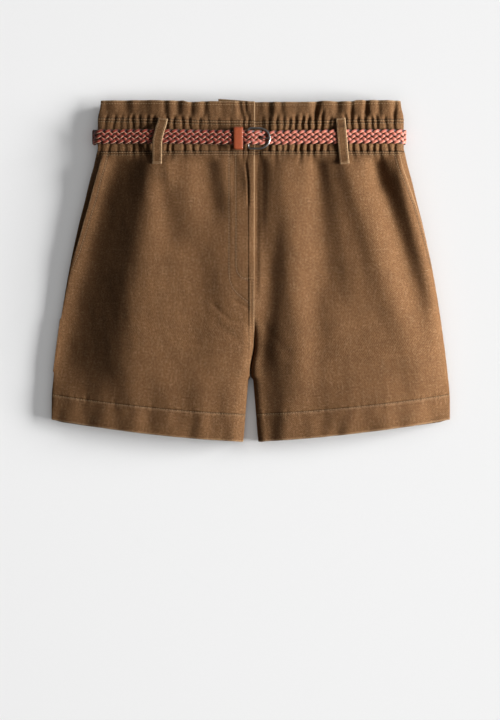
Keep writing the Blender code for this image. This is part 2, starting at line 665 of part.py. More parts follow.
def strap(belt):
    """The braided strap: from the tab, round the waist, over the buckle's bar, through the
    keeper and on to its free end at the left side. The braid's rows of crossings are raised
    where the strap shows."""
    start = belt.walk_at_front(TAB_END)
    end = belt.length + tail_end(belt)
    show_right = belt.turns()[1] - TURN_REACH
    walks = [start]
    while walks[-1] < end:
        turning = any(t - TURN_REACH - PLAIN_STEP < walks[-1] < t + TURN_REACH for t in belt.turns())
        fine = BRAID_PITCH / 2 if walks[-1] > show_right else PLAIN_STEP
        walks.append(walks[-1] + (TURN_STEP if turning else fine))
    walks[-1] = end
    sections = []
    for i, walk in enumerate(walks):
        shown = walk > show_right
        dips = [BRAID_DIP if shown and (i + j) % 2 else 0.0 for j in range(BRAID_ROWS)]
        outer = [BELT_THICK - d for d in dips]
        edge = (0.7 * (i % 2), 0.7 * ((i + 1) % 2)) if shown else (0.0, 0.0)
        heights = [BELT_THICK * 0.55] + outer + [BELT_THICK * 0.55]
        sections.append(strap_section(belt, walk, float(strap_rise(belt, walk)), heights, edge))
    obj = loft("belt_strap", sections, "braid")
    start_x, end_x = PRONG_SLOT
    size = (end_x - start_x, 2 * PRONG_HALF + 2 * GAP, 20.0)
    cut(obj, box_cutter("prong_slot", ((start_x + end_x) / 2, CENTRE - BUCKLE_DOWN, 24.0), size))
    return end


def tail_end(belt):
    """Walk past the centre front at which the strap's free end stops, low on the left side."""
    straight = belt.walk[belt.front_count - 13]
    half_turn = belt.walk[np.argmin(belt.ring[:, 0])] - straight
    return straight + half_turn * (1 + TAIL_END_TURN) - TIP_LENGTH


def belt_tip(belt, start):
    """The plain leather sleeve on the strap's free end."""
    sections = []
    for share in np.linspace(0, 1, 7):
        walk = start + GAP + share * TIP_LENGTH
        (x, z), normal = belt.at(walk, STRAP_HIGH - BELT_THICK / 2)
        half = BELT_WIDTH / 2 * (1 - 0.35 * ease(share, 0.5, 1.0))
        middle = CENTRE - BELT_DOWN
        sections.append([
            (x + normal[0] * BELT_THICK, middle - half, z + normal[1] * BELT_THICK),
            (x + normal[0] * BELT_THICK, middle + half, z + normal[1] * BELT_THICK),
            (x, middle + half, z),
            (x, middle - half, z),
        ])
    loft("belt_tip", sections, "strap_leather")


# ---------------------------------------------------------------- buckle

def box_cutter(name, centre, size):
    made = bmesh.new()
    bmesh.ops.create_cube(made, size=1.0)
    bmesh.ops.scale(made, vec=Vector(size) * MM, verts=made.verts)
    bmesh.ops.translate(made, vec=Vector(centre) * MM, verts=made.verts)
    mesh = bpy.data.meshes.new(name)
    made.to_mesh(mesh)
    made.free()
    obj = bpy.data.objects.new(name, mesh)
    obj.hide_render = True
    obj.display_type = "WIRE"
    cutters.objects.link(obj)
    return obj


def cut(obj, cutter):
    modifier = obj.modifiers.new("Slot", "BOOLEAN")
    modifier.operation = "DIFFERENCE"
    modifier.object = cutter


def plate(name, outlines, half_thick, origin, axes, finish):
    """A flat outline, with its holes, given a thickness. axes are the directions of the
    outline's two coordinates and of its thickness."""
    curve = bpy.data.curves.new(name, "CURVE")
    curve.dimensions = "2D"
    curve.fill_mode = "BOTH"
    curve.extrude = half_thick * MM
    for outline in outlines:
        spline = curve.splines.new("POLY")
        spline.points.add(len(outline) - 1)
        for point, (u, v) in zip(spline.points, outline):
            point.co = (u * MM, v * MM, 0, 1)
        spline.use_cyclic_u = True
    obj = bpy.data.objects.new(name, curve)
    garment.objects.link(obj)
    first, second, third = (Vector(a) for a in axes)
    obj.matrix_world = Matrix.Translation(Vector(origin) * MM) @ Matrix((first, second, third)).transposed().to_4x4()
    return as_mesh(obj, finish)


def as_mesh(curve_object, finish):
    """The curve's own mesh in place, with its caps welded."""
    name = curve_object.name
    bpy.context.view_layer.update()
    graph = bpy.context.evaluated_depsgraph_get()
    mesh = bpy.data.meshes.new_from_object(curve_object.evaluated_get(graph))
    mesh.transform(curve_object.matrix_world)
    data = curve_object.data
    bpy.data.objects.remove(curve_object)
    bpy.data.curves.remove(data)
    shell = bmesh.new()
    shell.from_mesh(mesh)
    bmesh.ops.remove_doubles(shell, verts=shell.verts, dist=1e-6)
    bmesh.ops.recalc_face_normals(shell, faces=shell.faces)
    shell.to_mesh(mesh)
    shell.free()
    mesh.name = name
    mesh.materials.clear()
    obj = link(name, mesh, finish)
    mesh.shade_smooth()
    mesh.set_sharp_from_angle(angle=0.7)
    return obj


def arc(centre, radius, start, end, count):
    angle = np.radians(np.linspace(start, end, count))
    return [(centre[0] + radius * np.cos(a), centre[1] + radius * np.sin(a)) for a in angle]


def buckle(surface):
    """The horseshoe frame, its prong, the tab on its bar and the keeper."""
    middle = CENTRE - BUCKLE_DOWN
    tilt = (END_RISE - BAR_RISE) / (END_X - BAR_X)

    corner = 3.5
    plan = arc((BAR_X + corner, FRAME_HALF - corner), corner, 180, 90, 5)
    plan += [(6.0, FRAME_HALF)]
    bow = np.radians(np.linspace(80, -80, 13))
    plan += [(9.0 + (END_X - 9.0) * np.cos(a), FRAME_HALF * np.sin(a)) for a in bow]
    plan += [(6.0, -FRAME_HALF)]
    plan += arc((BAR_X + corner, -FRAME_HALF + corner), corner, -90, -180, 5)
    plan += [(BAR_X, y) for y in (-4.0, 0.0, 4.0)]
    wire = bpy.data.curves.new("buckle_frame", "CURVE")
    wire.dimensions = "3D"
    wire.bevel_depth = WIRE * MM
    wire.bevel_resolution = 2
    spline = wire.splines.new("POLY")
    spline.points.add(len(plan) - 1)
    for point, (x, y) in zip(spline.points, plan):
        point.co = (x * MM, (middle + y) * MM, (surface + BAR_RISE + tilt * (x - BAR_X)) * MM, 1)
    spline.use_cyclic_u = True
    frame = bpy.data.objects.new("buckle_frame", wire)
    garment.objects.link(frame)
    as_mesh(frame, "metal")

    eye, hole = WIRE + GAP + 0.9, WIRE + GAP
    bar = (BAR_X, middle, surface + BAR_RISE)
    upright = ((1, 0, 0), (0, 0, 1), (0, -1, 0))

    tip_x = END_X - BAR_X + 1.0
    tip_z = END_RISE - BAR_RISE + WIRE + GAP
    prong = arc((0, 0), eye, 60, 330, 12)
    prong += [(tip_x, tip_z), (tip_x, tip_z + 1.3), (tip_x - 1.2, tip_z + 2 * PRONG_HALF)]
    plate("buckle_prong", [prong, arc((0, 0), hole, 0, 340, 18)], PRONG_HALF, bar, upright, "metal")

    half = BELT_THICK / 2
    tail_x = TAB_END + GAP - BAR_X
    tab = [(tail_x, -half), (-3.4, -half)] + arc((0, 0), eye, 220, 500, 16) + [(-3.4, half), (tail_x, half)]
    tab_solid = plate(
        "buckle_tab", [tab, arc((0, 0), hole, 0, 340, 18)], TAB_HALF, bar, upright, "strap_leather")
    room = 2 * PRONG_HALF + 2 * GAP
    cut(tab_solid, box_cutter("tab_slot", (BAR_X + 1.0, middle, surface + BAR_RISE), (7.6, room, 9.0)))

    low = surface + BELT_GAP + KEEPER_LIFT - GAP
    high = surface + STRAP_HIGH + KEEPER_LIFT + half + GAP
    inner_half = KEEPER_HALF - KEEPER_WALL
    hole_outline = [(-inner_half, low), (inner_half, low), (inner_half, high), (-inner_half, high)]
    bottom, top = low - KEEPER_WALL, high + KEEPER_WALL
    outline = [
        (-KEEPER_HALF, bottom + 0.8), (-KEEPER_HALF + 0.8, bottom), (KEEPER_HALF - 0.8, bottom),
        (KEEPER_HALF, bottom + 0.8), (KEEPER_HALF, top - 1.6), (KEEPER_HALF - 0.6, top - 0.5),
        (KEEPER_HALF - 1.9, top), (-KEEPER_HALF + 1.9, top), (-KEEPER_HALF + 0.6, top - 0.5),
        (-KEEPER_HALF, top - 1.6),
    ]
    centre_x = sum(KEEPER_X) / 2
    half_long = (KEEPER_X[1] - KEEPER_X[0]) / 2
    plate(
        "belt_keeper", [outline, hole_outline], half_long, (centre_x, middle, 0.0),
        ((0, 1, 0), (0, 0, 1), (1, 0, 0)), "strap_leather",
    )


# ---------------------------------------------------------------- belt loops

def belt_loop(name, x_top, x_foot, foot, layers, on_front):
    """A folded strip sewn on above and below the belt, which passes over it."""
    over = BELT_GAP + layers * BELT_THICK + (layers - 1) * GAP + GAP
    edge = BELT_WIDTH / 2
    sewn = GAP * 2 if on_front else GAP
    route = (
        (LOOP_TOP, sewn), (LOOP_TOP + 4.0, sewn), (BELT_DOWN - edge - 2.2, over * 0.62),
        (BELT_DOWN - edge - 0.2, over), (BELT_DOWN, over), (BELT_DOWN + edge + 0.6, over),
        (BELT_DOWN + edge + 4.0, over * 0.75), (foot - 3.5, sewn), (foot, sewn),
    )
    sections = []
    for i, (down, rise) in enumerate(route):
        share = (down - LOOP_TOP) / (foot - LOOP_TOP)
        x_mid = x_top + (x_foot - x_top) * share
        before, after = route[max(i - 1, 0)], route[min(i + 1, len(route) - 1)]
        section = []
        for x in (x_mid - LOOP_WIDTH / 2, x_mid, x_mid + LOOP_WIDTH / 2):
            base = loop_base(x, np.array([before[0], down, after[0]]), on_front)
            up = 1.0 if on_front else -1.0
            z = base[1] + up * rise
            slope = ((base[2] + up * after[1]) - (base[0] + up * before[1])) / (after[0] - before[0])
            lean = np.array([slope, 1.0]) / np.hypot(slope, 1.0)
            section.append(((x, CENTRE - down, z), (x, CENTRE - down + up * lean[0] * WALL, z + up * lean[1] * WALL)))
        low, high = [p[0] for p in section], [p[1] for p in section]
        sections.append(low + high[::-1])
    loft(name, sections, "cloth")


def loop_base(x, down, on_front):
    """Height of the cloth's crests under a loop."""
    if not on_front:
        return ring(down, "bottom")
    band = ring(down, "top") * crown(x, down)
    panel = front_height(np.full(3, x), down)
    return np.where(down <= WAIST_SEAM, band, np.maximum(panel, band - 0.5))


# ---------------------------------------------------------------- the whole garment

for old in list(bpy.data.objects):
    bpy.data.objects.remove(old)

garment = bpy.data.collections.new("belted_shorts")
cutters = bpy.data.collections.new("cutters")
for group in (garment, cutters):
    bpy.context.scene.collection.children.link(group)

front_panels()
back_panels()
pocket_facings()
waistbands()
the_belt = Belt()
strap_end = strap(the_belt)
belt_tip(the_belt, strap_end)
buckle(float(ring(BELT_DOWN, "top")))
for row in LOOPS:
    belt_loop(*row)
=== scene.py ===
"""Belted paper-bag shorts, laid flat on their back: the finished surfaces.

Shapes are worked out in millimetres, with +X to the right, +Y towards the waist and +Z
away from the surface below. "Down" is the distance along the cloth from the top of the
frill towards the hem. Meshes are stored in metres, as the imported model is.
"""

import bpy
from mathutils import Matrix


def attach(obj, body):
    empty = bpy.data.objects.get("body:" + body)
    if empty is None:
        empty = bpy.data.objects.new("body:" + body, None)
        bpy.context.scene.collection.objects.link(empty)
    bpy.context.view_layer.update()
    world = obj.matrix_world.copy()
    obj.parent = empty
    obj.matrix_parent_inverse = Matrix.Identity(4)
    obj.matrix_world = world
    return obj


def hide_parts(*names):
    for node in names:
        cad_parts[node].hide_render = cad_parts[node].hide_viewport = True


bl_info = {
    "name": "Belted shorts",
    "version": (1, 0, 0),
    "blender": (4, 5, 0),
    "location": "3D View > Sidebar > Shorts",
    "description": "Cloth, stitching, braided belt and buckle of a pair of shorts laid flat",
    "category": "Object",
}

from functools import partial

import bpy
import numpy as np
from bpy.props import FloatProperty, FloatVectorProperty, PointerProperty
from mathutils import Vector

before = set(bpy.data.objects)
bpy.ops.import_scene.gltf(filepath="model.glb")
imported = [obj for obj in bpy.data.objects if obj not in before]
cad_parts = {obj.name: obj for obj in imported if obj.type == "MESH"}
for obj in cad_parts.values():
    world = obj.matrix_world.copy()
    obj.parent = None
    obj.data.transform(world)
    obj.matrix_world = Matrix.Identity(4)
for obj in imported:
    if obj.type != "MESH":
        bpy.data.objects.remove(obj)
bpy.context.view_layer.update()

MM = 0.001
FULL_TURN = 6.28318  # radians

# Sizes in millimetres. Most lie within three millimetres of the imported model's. The turns at
# the inside of the legs, the belt's plain tip and the folds of the fronts differ by more.
# Places on the cloth are x, from the middle of the bounding box, and down, from the frill's top.
LENGTH = 400.0
WALL = 1.2
HEM_WALL = 2.4
GAP = 0.3
LAP = WALL + GAP
CENTRE = LENGTH / 2
WAIST_SEAM = 61.4
ROW_STEP = 3.3  # between the two rows of stitching at the casing's top and foot
HEM_DEPTH = 31.0
HEM_LINE = LENGTH - HEM_DEPTH  # down of the hem's stitching
HEM_AT_SIDE = 374.0
HEM_CURVE = 1.6  # power by which the hem slants up to the side seam
HALF_HEM = 233.5
CROTCH = 320.0
LEG_TURN = (245.0, 308.0)  # down over which the insides of the legs come to turn
FLY_EDGE = 4.4
FLY_FOOT = 208.0
FLY_FADE = (285.0, CROTCH - 2)  # down over which its edge comes to the centre
FLY_UNDER = 10.0
FLY_SLACK = 0.6
UNDERLAP = 42.0
INSEAM_HEIGHT = 7.5
INNER_ROUND = {-1: 14.0, 1: 10.0}  # width of the turn at the inside of each leg
HEM_ROUND = 30.0
INNER_BACK_ROUND = 12.0
CROWN = 0.10
PANEL_TOP = WAIST_SEAM + GAP
FOLDS_FULL = 77.0  # down at which the folds have their full height

# down, half width, side seam's height, front's height, back's height, front turn, back turn
RING_NAMES = ("down", "half_width", "seam", "top", "bottom", "front_round", "back_round")
RINGS = np.array((
    (0.0, 175.5, 9.5, 20.0, 0.8, 10.0, 8.0),
    (10.0, 176.5, 11.0, 20.5, 2.9, 10.0, 8.0),
    (20.0, 178.6, 12.2, 21.5, 5.5, 10.0, 8.0),
    (24.0, 179.0, 12.2, 21.5, 5.5, 10.0, 8.0),
    (57.0, 179.0, 12.2, 21.5, 5.5, 10.0, 8.0),
    (64.0, 180.6, 11.8, 23.0, 3.8, 11.0, 8.5),
    (77.0, 183.6, 10.6, 25.5, 1.0, 14.0, 10.0),
    (94.0, 188.4, 9.6, 27.0, 0.0, 18.0, 12.0),
    (118.0, 194.2, 9.0, 27.5, 0.0, 18.0, 12.0),
    (147.0, 201.6, 9.0, 27.5, 0.0, 18.0, 12.0),
    (205.0, 213.8, 9.0, 27.0, 0.0, 18.0, 12.0),
    (264.0, 223.4, 9.0, 26.0, 0.0, 18.0, 12.0),
    (322.0, 230.8, 9.0, 25.0, 0.0, 18.0, 12.0),
    (351.0, 233.2, 9.0, 23.5, 0.0, 18.0, 12.0),
    (LENGTH, HALF_HEM, 8.5, 21.0, 0.0, 18.0, 12.0),
))
# down and half the width of the gap between the legs
LEG_GAP = np.array((
    (320.0, 0.0), (324.6, 0.1), (326.4, 2.3), (345.0, 4.2), (369.0, 6.2), (387.0, 7.5), (400.0, 8.8),
))

# down and how far the pocket's edge lies inside the silhouette, right and left front
POCKETS = {
    -1: np.array((
        (59.0, 7.4), (80.0, 7.4), (110.0, 6.6), (150.0, 5.4), (185.0, 2.2), (196.0, 0.0), (400.0, 0.0),
    )),
    1: np.array((
        (59.0, 7.4), (80.0, 7.4), (100.0, 5.6), (125.0, 2.6), (150.0, 1.2), (196.0, 0.0), (400.0, 0.0),
    )),
}
POCKET_FOOT = 196.0
POCKET_UNDER = 16.0
FACING_SLACK = 0.6

# The folds of the fronts, placed on the photo, one line for each crest and hollow.
# Columns: x and down of the upper end, x and down of the lower end, half width at each end,
# height, and the share by which the fold is wider on its right-hand side.
FOLDS = (
    # leg at the left of the picture: its long hollow, the crest beside it, smaller ones
    (-150, 50, -225, 320, 17, 32, -9.0, 0.4),
    (-110, 50, -145, 340, 15, 40, 6.0, 0.2),
    (-95, 50, -95, 100, 6, 10, 2.5, 0.0),
    (-105, 100, -95, 170, 10, 15, -3.0, 0.0),
    (-75, 70, -65, 150, 12, 20, 2.5, 0.0),
    (-55, 60, -45, 140, 15, 20, -5.0, -0.3),
    (-60, 170, -55, 300, 20, 30, -2.0, 0.0),
    (-30, 180, -40, 380, 20, 25, 1.5, 0.0),
    # by the fly and the crotch
    (-20, 60, -15, 110, 8, 12, -3.0, 0.0),
    (12, 55, 10, 180, 6, 8, -3.0, 0.0),
    (25, 150, 15, 300, 15, 12, -4.5, 0.0),
    (10, 280, 10, 400, 15, 20, -5.0, 0.0),
    # leg at the right of the picture: crests and hollows by turns
    (35, 60, 60, 340, 15, 20, 3.0, 0.0),
    (75, 55, 90, 230, 8, 25, -6.5, 0.0),
    (75, 210, 75, 400, 15, 15, -2.5, 0.0),
    (105, 60, 200, 330, 12, 30, 4.5, 0.2),
    (140, 50, 150, 110, 6, 12, -4.0, 0.0),
    (145, 70, 200, 250, 10, 18, -8.0, 0.0),
    (175, 80, 220, 250, 8, 25, 6.5, -0.3),
    (220, 230, 180, 400, 35, 40, 5.0, -0.5),
)
FOLD_FADE = 32.0
HEM_WAVES = 13
HEM_WAVE_DEPTH = 0.8
HEM_WAVE_SWAY = 0.8  # radians by which the waves crowd and spread
HEM_WAVE_SWAY_REACH = 37.0

# Creases of the gathered casing, placed one by one: x at its upper and at its lower stitching, depth,
# and how far the crease runs on above and below the casing.
CREASES = (
    (-170, -176, 1.5, 5, 20), (-160, -166, 1.5, 5, 20), (-152, -156, 1.0, 5, 15), (-145, -147, 1.0, 5, 10),
    (-138, -138, 2.0, 5, 15), (-130, -130, 2.0, 5, 15), (-121, -121, 2.0, 5, 15), (-113, -113, 2.0, 5, 10),
    (-98, -98, 2.0, 5, 10), (-90, -92, 2.0, 5, 25), (-80, -78, 2.0, 5, 15), (-72, -68, 2.0, 5, 10),
    (-60, -60, 1.5, 5, 10), (-50, -50, 1.0, 15, 10), (-38, -38, 1.0, 5, 15), (-24, -24, 1.0, 5, 20),
    (-9, -9, 1.5, 15, 35), (-3, -4, 1.5, 15, 25), (13, 11, 2.5, 10, 25), (21, 21, 2.0, 5, 5),
    (30, 29, 2.0, 15, 30), (38, 36, 1.5, 10, 20), (45, 42, 2.0, 5, 10), (52, 51, 2.5, 10, 10),
    (60, 58, 3.0, 10, 25), (67, 66, 3.0, 10, 15), (75, 73, 3.0, 20, 25), (83, 81, 3.0, 20, 10),
    (92, 89, 2.0, 5, 10), (110, 112, 2.0, 10, 10), (117, 119, 2.5, 20, 20), (125, 127, 2.5, 5, 10),
    (133, 135, 2.5, 20, 10), (141, 143, 2.5, 5, 10), (147, 150, 2.5, 10, 30), (157, 160, 2.0, 5, 10),
    (167, 168, 2.5, 20, 10),
)

# how far the waist has sunk towards the left of the picture, and from where to where in x
WAIST_SINK = 5.0
WAIST_SINK_X = (-172.0, -84.0)
# how far each front has sunk at its side seam, and by how much more at the hem
SIDE_SINK = {-1: (6.5, 3.0), 1: (4.0, 5.5)}
SIDE_SINK_FROM = 6.0  # in from the silhouette
SIDE_SINK_TO = 62.0
SIDE_SINK_WIDENS = 36.0
INNER_SINK = 4.0
INNER_SINK_X = (8.0, 66.0)

BACK_GATHERS = 30
GATHER_TO = 160.0
GATHER_DEPTH = 3.0
CREASE_WIDE = 3.7
STITCH_SINK = 0.5
STITCH_GROOVE = 0.9  # half width of the groove along a row of stitching
FRILL_STITCH = 3.6  # down of the stitching along the frill's top
CASING_DOWN = 26.0  # about where the casing's upper stitching runs
CASING_ROWS = (24.5, 27.5)  # near them the waistband's mesh is finer

# Soft folds of the frill, placed on the front and guessed on the back: x, half width
# and depth.
FRONT_FRILL = (
    (-170, 4, 1.5), (-145, 8, 2.5), (-128, 8, 2.0), (-100, 4, 1.5), (-85, 5, 2.5), (-70, 3, 1.5),
    (-55, 4, 2.0), (-35, 5, 1.0), (-12, 3, 2.0), (-5, 2, 1.0), (20, 5, 3.0), (35, 4, 1.5), (55, 5, 1.0),
    (75, 5, 4.0), (100, 5, 3.0), (118, 3, 2.0), (135, 3, 3.5), (150, 3, 1.5), (168, 3, 2.0),
)
BACK_FRILL = (
    (-150.0, 6.0, 2.4), (-122.0, 6.0, 3.0), (-97.0, 5.0, 2.0), (-70.0, 6.5, 3.4),
    (-41.0, 5.5, 2.4), (-14.0, 6.0, 3.2), (12.0, 5.0, 2.0), (38.0, 6.5, 3.2),
    (66.0, 5.5, 2.6), (92.0, 6.0, 3.4), (119.0, 5.0, 2.0), (148.0, 6.0, 2.6),
)
# x and how far down the frill's top edge lies there, on the right and on the left half
FRILL_TOP = {
    -1: np.array((
        (-179.0, 1.6), (-119.0, 1.6), (-100.0, 2.3), (-80.0, 2.6), (-72.0, 4.1), (-62.0, 4.1), (-54.0, 3.3),
        (6.0, 3.6),
    )),
    1: np.array((
        (-38.0, 0.0), (2.0, 3.3), (6.0, 3.9), (69.0, 4.1), (82.0, 2.9), (100.0, 3.3), (118.0, 3.3),
        (124.0, 1.9), (142.0, 1.9), (179.0, 2.3),
    )),
}

# x and how far down the upper stitching of the casing runs there
CASING = np.array((
    (-179.0, 22.2), (-118.0, 23.4), (-60.0, 25.8), (0.0, 26.5), (60.0, 26.4), (118.0, 25.2), (179.0, 24.2),
))

# The belt.
BELT_WIDTH = 18.0
BELT_THICK = 3.0
BELT_DOWN = 44.2
BELT_SAG = 1.9
BELT_SAG_REACH = 80.0
BELT_GAP = 0.35
TAIL_END_TURN = 0.54
TIP_LENGTH = 5.0
BUCKLE_DOWN = 47.0
WIRE = 1.2
BAR_X = -3.0
BAR_RISE = 3.75
END_X = 22.0
END_RISE = 4.85
FRAME_HALF = 11.85
PRONG_HALF = 0.9
KEEPER_X = (-20.0, -9.0)
KEEPER_HALF = 13.2
KEEPER_WALL = 1.3
KEEPER_BEND = 2.0
TAB_END = -20.3
FRAME_CORNER = 3.5  # radius of the buckle's two corners, by its bar
FRAME_STRAIGHT = (1.5, 8.0)  # x from and to which its sides run straight
BOW_X = 9.0  # x of the middle of its round end
BOW_TURN = 84  # degrees that the round end turns to each side
BAR_HALF = 7.6
WIRE_SIDES = 18
PRONG_END = 23.0
# x and height of the prong's middle line above the waistband
PRONG_RISE = np.array((
    (-3.0, 2.6), (1.0, 2.5), (6.0, 2.25), (9.0, 2.75), (13.0, 5.15), (17.0, 6.45), (20.0, 7.3),
    (PRONG_END, 7.25),
))
STRAP_LOW = BELT_GAP + BELT_THICK / 2
STRAP_HIGH = STRAP_LOW + BELT_THICK + GAP
KEEPER_LIFT = 1.9
UNDER_RISE = ((TAB_END, STRAP_LOW + KEEPER_LIFT), (-26.0, STRAP_LOW + KEEPER_LIFT), (-52.0, STRAP_LOW))
OVER_RISE = (
    (27.0, STRAP_LOW), (22.0, STRAP_LOW), (12.0, STRAP_LOW + 2.2), (-3.0, STRAP_HIGH + KEEPER_LIFT + 1.2),
    (-10.0, STRAP_HIGH + KEEPER_LIFT), (-26.0, STRAP_HIGH + KEEPER_LIFT), (-52.0, STRAP_HIGH),
)
STRANDS = 6
STRAND_TURN = 7.2  # how far a strand's middle swings to each side
STRAND_START = 35.2  # x at which a strand rises over another along the lower edge
PRONG_HOLE_X = 11.0  # where the prong comes up between the strands
PRONG_PUSH = 3.0  # how far it pushes them aside there
PRONG_PUSH_REACH = 6.0
STRAND_STEP = 1.15
# A strand's section: across as a share of its half width, up as a share of its thickness, and
# how bare of dye it is.
STRAND_SECTION = np.array((
    (-1.0, 0.0, 1.0), (-0.90, 0.30, 0.75), (-0.72, 0.44, 0.0), (-0.35, 0.49, 0.0), (0.0, 0.50, 0.0),
    (0.35, 0.49, 0.0), (0.72, 0.44, 0.0), (0.90, 0.30, 0.75), (1.0, 0.0, 1.0), (0.86, -0.45, 1.0),
    (0.3, -0.5, 0.2), (-0.3, -0.5, 0.2), (-0.86, -0.45, 1.0), (-0.98, -0.12, 1.0),
))

LOOP_WIDTH = 11.4
LOOP_TOP = 23.0
# name, x of top and foot, down of the foot, layers of belt below it, on the front
LOOPS = (
    ("belt_loop_front_right", -102.0, -109.0, 77.0, 2, True),
    ("belt_loop_front_left", 104.5, 109.0, 77.0, 1, True),
    ("belt_loop_back_right", -100.0, -100.0, 66.5, 1, False),
    ("belt_loop_back_centre", 0.0, 0.0, 66.5, 1, False),
    ("belt_loop_back_left", 100.0, 100.0, 66.5, 1, False),
)

# Lines of topstitching on the right front's fly, as x and down.
FLY_OUTER = np.array((
    (-25.4, 62.0), (-25.4, 203.0), (-24.6, 212.0), (-21.6, 220.0), (-16.5, 226.6), (-11.4, 231.0),
    (-2.6, 238.0),
))
FLY_INNER = np.array(((-17.6, 62.0), (-17.2, 196.0), (-15.6, 203.5), (-11.4, 208.4), (-2.6, 212.3)))
# and on the pocket's edge, as distance in from the silhouette and down
POCKET_STITCH = {
    -1: np.array(((14.0, 62.0), (13.4, 90.0), (12.8, 120.0), (11.2, 150.0), (8.2, 178.0), (3.0, 200.0))),
    1: np.array((
        (13.4, 62.0), (12.6, 88.0), (9.2, 103.0), (6.4, 121.0), (4.9, 147.0), (3.2, 173.0), (1.6, 200.0),
    )),
}
# how far in from the silhouette and down the tack at its foot lies
POCKET_TACK = ((4.2, 199.0), (9.5, 201.0))
FLY_TACK = ((-7.5, 209.6), (3.6, 209.6))
FLY_ROWS = (FLY_OUTER, FLY_INNER, ((-1.0, 212.0), (-1.0, 292.0)), ((2.6, 212.0), (2.6, 285.0)))
BACK_ROW = ((4.6, 62.0), (4.6, 300.0))
# Low creases by the crotch and beside the fly's upper end: a line as x and down, depth, width.
SMALL_CREASES = (
    (((-43.5, 241.0), (-24.3, 259.0), (-4.5, 262.4)), 0.6, 2.6),
    (((-19.2, 236.2), (-2.9, 244.3)), 0.7, 2.0),
    (((-40.0, 262.0), (-16.0, 281.0), (-3.0, 290.0)), 0.5, 4.0),
    (((7.0, 250.0), (22.0, 272.0), (44.0, 300.0)), 0.4, 4.5),
    (((-6.0, 76.0), (-3.2, 98.0), (-2.8, 124.0)), 0.9, 1.5),
)


# ---------------------------------------------------------------- settings

def colour_setting(name, description, default):
    return FloatVectorProperty(
        name=name, description=description, subtype="COLOR", size=3, min=0, max=1, default=default)


def length_setting(name, description, default, low, high):
    return FloatProperty(
        name=name, description=description, unit="LENGTH", default=default, min=low, max=high, precision=5)


def angle_setting(name, description, default, low):
    return FloatProperty(
        name=name, description=description, subtype="ANGLE", default=default, min=low, max=1.5)


class ShortsCloth(bpy.types.PropertyGroup):
    """Colours and weave of the shorts' cloth."""
    colour: colour_setting("Cloth", "Main colour of the twill", (0.146, 0.0680, 0.0250))
    heather: colour_setting("Pale yarn", "Colour of the paler yarns and worn edges", (0.46, 0.30, 0.165))
    thread: colour_setting("Thread", "Colour of the topstitching", (0.31, 0.195, 0.100))
    wale: length_setting(
        "Wale", "Distance from one diagonal rib of the twill to the next", 0.00160, 0.0003, 0.004)
    stitch: length_setting(
        "Stitch", "Length of one stitch with the space after it", 0.0031, 0.001, 0.01)


class ShortsBelt(bpy.types.PropertyGroup):
    """Colours and sizes of the belt."""
    face: colour_setting("Braid", "Colour of the strands' dyed faces", (0.30, 0.043, 0.025))
    cut: colour_setting("Cut edge", "Colour of the strands' undyed edges", (0.82, 0.56, 0.36))
    leather: colour_setting("Leather", "Colour of the keeper, tab and tip", (0.33, 0.068, 0.022))
    metal: colour_setting("Metal", "Colour of the buckle", (0.34, 0.34, 0.33))
    strand_width: length_setting("Strand width", "Width of one strand of the braid", 0.0032, 0.002, 0.006)
    strand_thickness: length_setting("Strand thickness", "Thickness of one strand", 0.0012, 0.0005, 0.002)
    braid_length: length_setting("Braid length", "Length of one full swing of a strand", 0.0522, 0.02, 0.1)


class ShortsStage(bpy.types.PropertyGroup):
    """The floor, lights and camera."""
    floor: colour_setting("Floor", "Colour of the surface below", (0.86, 0.86, 0.86))
    key: FloatProperty(
        name="Key light", description="Strength of the light from the right", default=4.25, min=0)
    key_height: angle_setting("Key elevation", "Angle of the key light above the surface", 0.471, 0.1)
    key_size: angle_setting("Key size", "Angle that the key light covers, which softens shadows", 0.28, 0.0)
    shade_height: angle_setting(
        "Shade elevation", "Angle above the surface of the light that shades the floor alone", 0.285, 0.1)
    shade_size: FloatProperty(
        name="Shade size", description="Height of the floor's own light as a share of its distance",
        default=0.30, min=0.0, max=1.5)
    shade_length: FloatProperty(
        name="Shade length", description="Length of the floor's own light as a share of its distance",
        default=0.7, min=0.0, max=3.0)
    sky: FloatProperty(
        name="Sky", description="Strength of the even light from all round", default=0.085, min=0)
    side: FloatProperty(
        name="Side light", description="Power of the near light that falls on the garment alone, in watts",
        default=6.1, min=0)
    top: FloatProperty(
        name="Top light", description="Power of the light above that falls on the floor alone, in watts",
        default=9.7, min=0)
    lens: FloatProperty(
        name="Lens", description="Focal length of the camera, in millimetres", default=100.0, min=20, max=300)


# ---------------------------------------------------------------- smooth tables

def smooth(at, x, y):
    """Monotone cubic through the points (x, y), which never overshoots them."""
    at = np.asarray(at, float)
    step = np.diff(x)
    slope = np.diff(y) / step
    tangent = np.zeros(len(x))
    both = slope[:-1] * slope[1:]
    harmonic = 2 * both / np.where(both > 0, slope[:-1] + slope[1:], 1.0)
    tangent[1:-1] = np.where(both > 0, harmonic, 0.0)
    tangent[0], tangent[-1] = slope[0], slope[-1]
    i = np.clip(np.searchsorted(x, at, side="right") - 1, 0, len(x) - 2)
    t = np.clip((at - x[i]) / step[i], 0.0, 1.0)
    return (
        y[i] * (1 + 2 * t) * (1 - t) ** 2 + y[i + 1] * t * t * (3 - 2 * t)
        + step[i] * t * (1 - t) * (tangent[i] * (1 - t) - tangent[i + 1] * t)
    )


def ring(down, name):
    return smooth(down, RINGS[:, 0], RINGS[:, RING_NAMES.index(name)])


def ease(value, start, end):
    """0 before start, 1 after end, and a cubic between."""
    t = np.clip((np.asarray(value, float) - start) / (end - start), 0.0, 1.0)
    return t * t * (3 - 2 * t)


def bell(value, width):
    """1 at zero, falling as exp of minus the square of value over width."""
    return np.exp(-((value / width) ** 2))


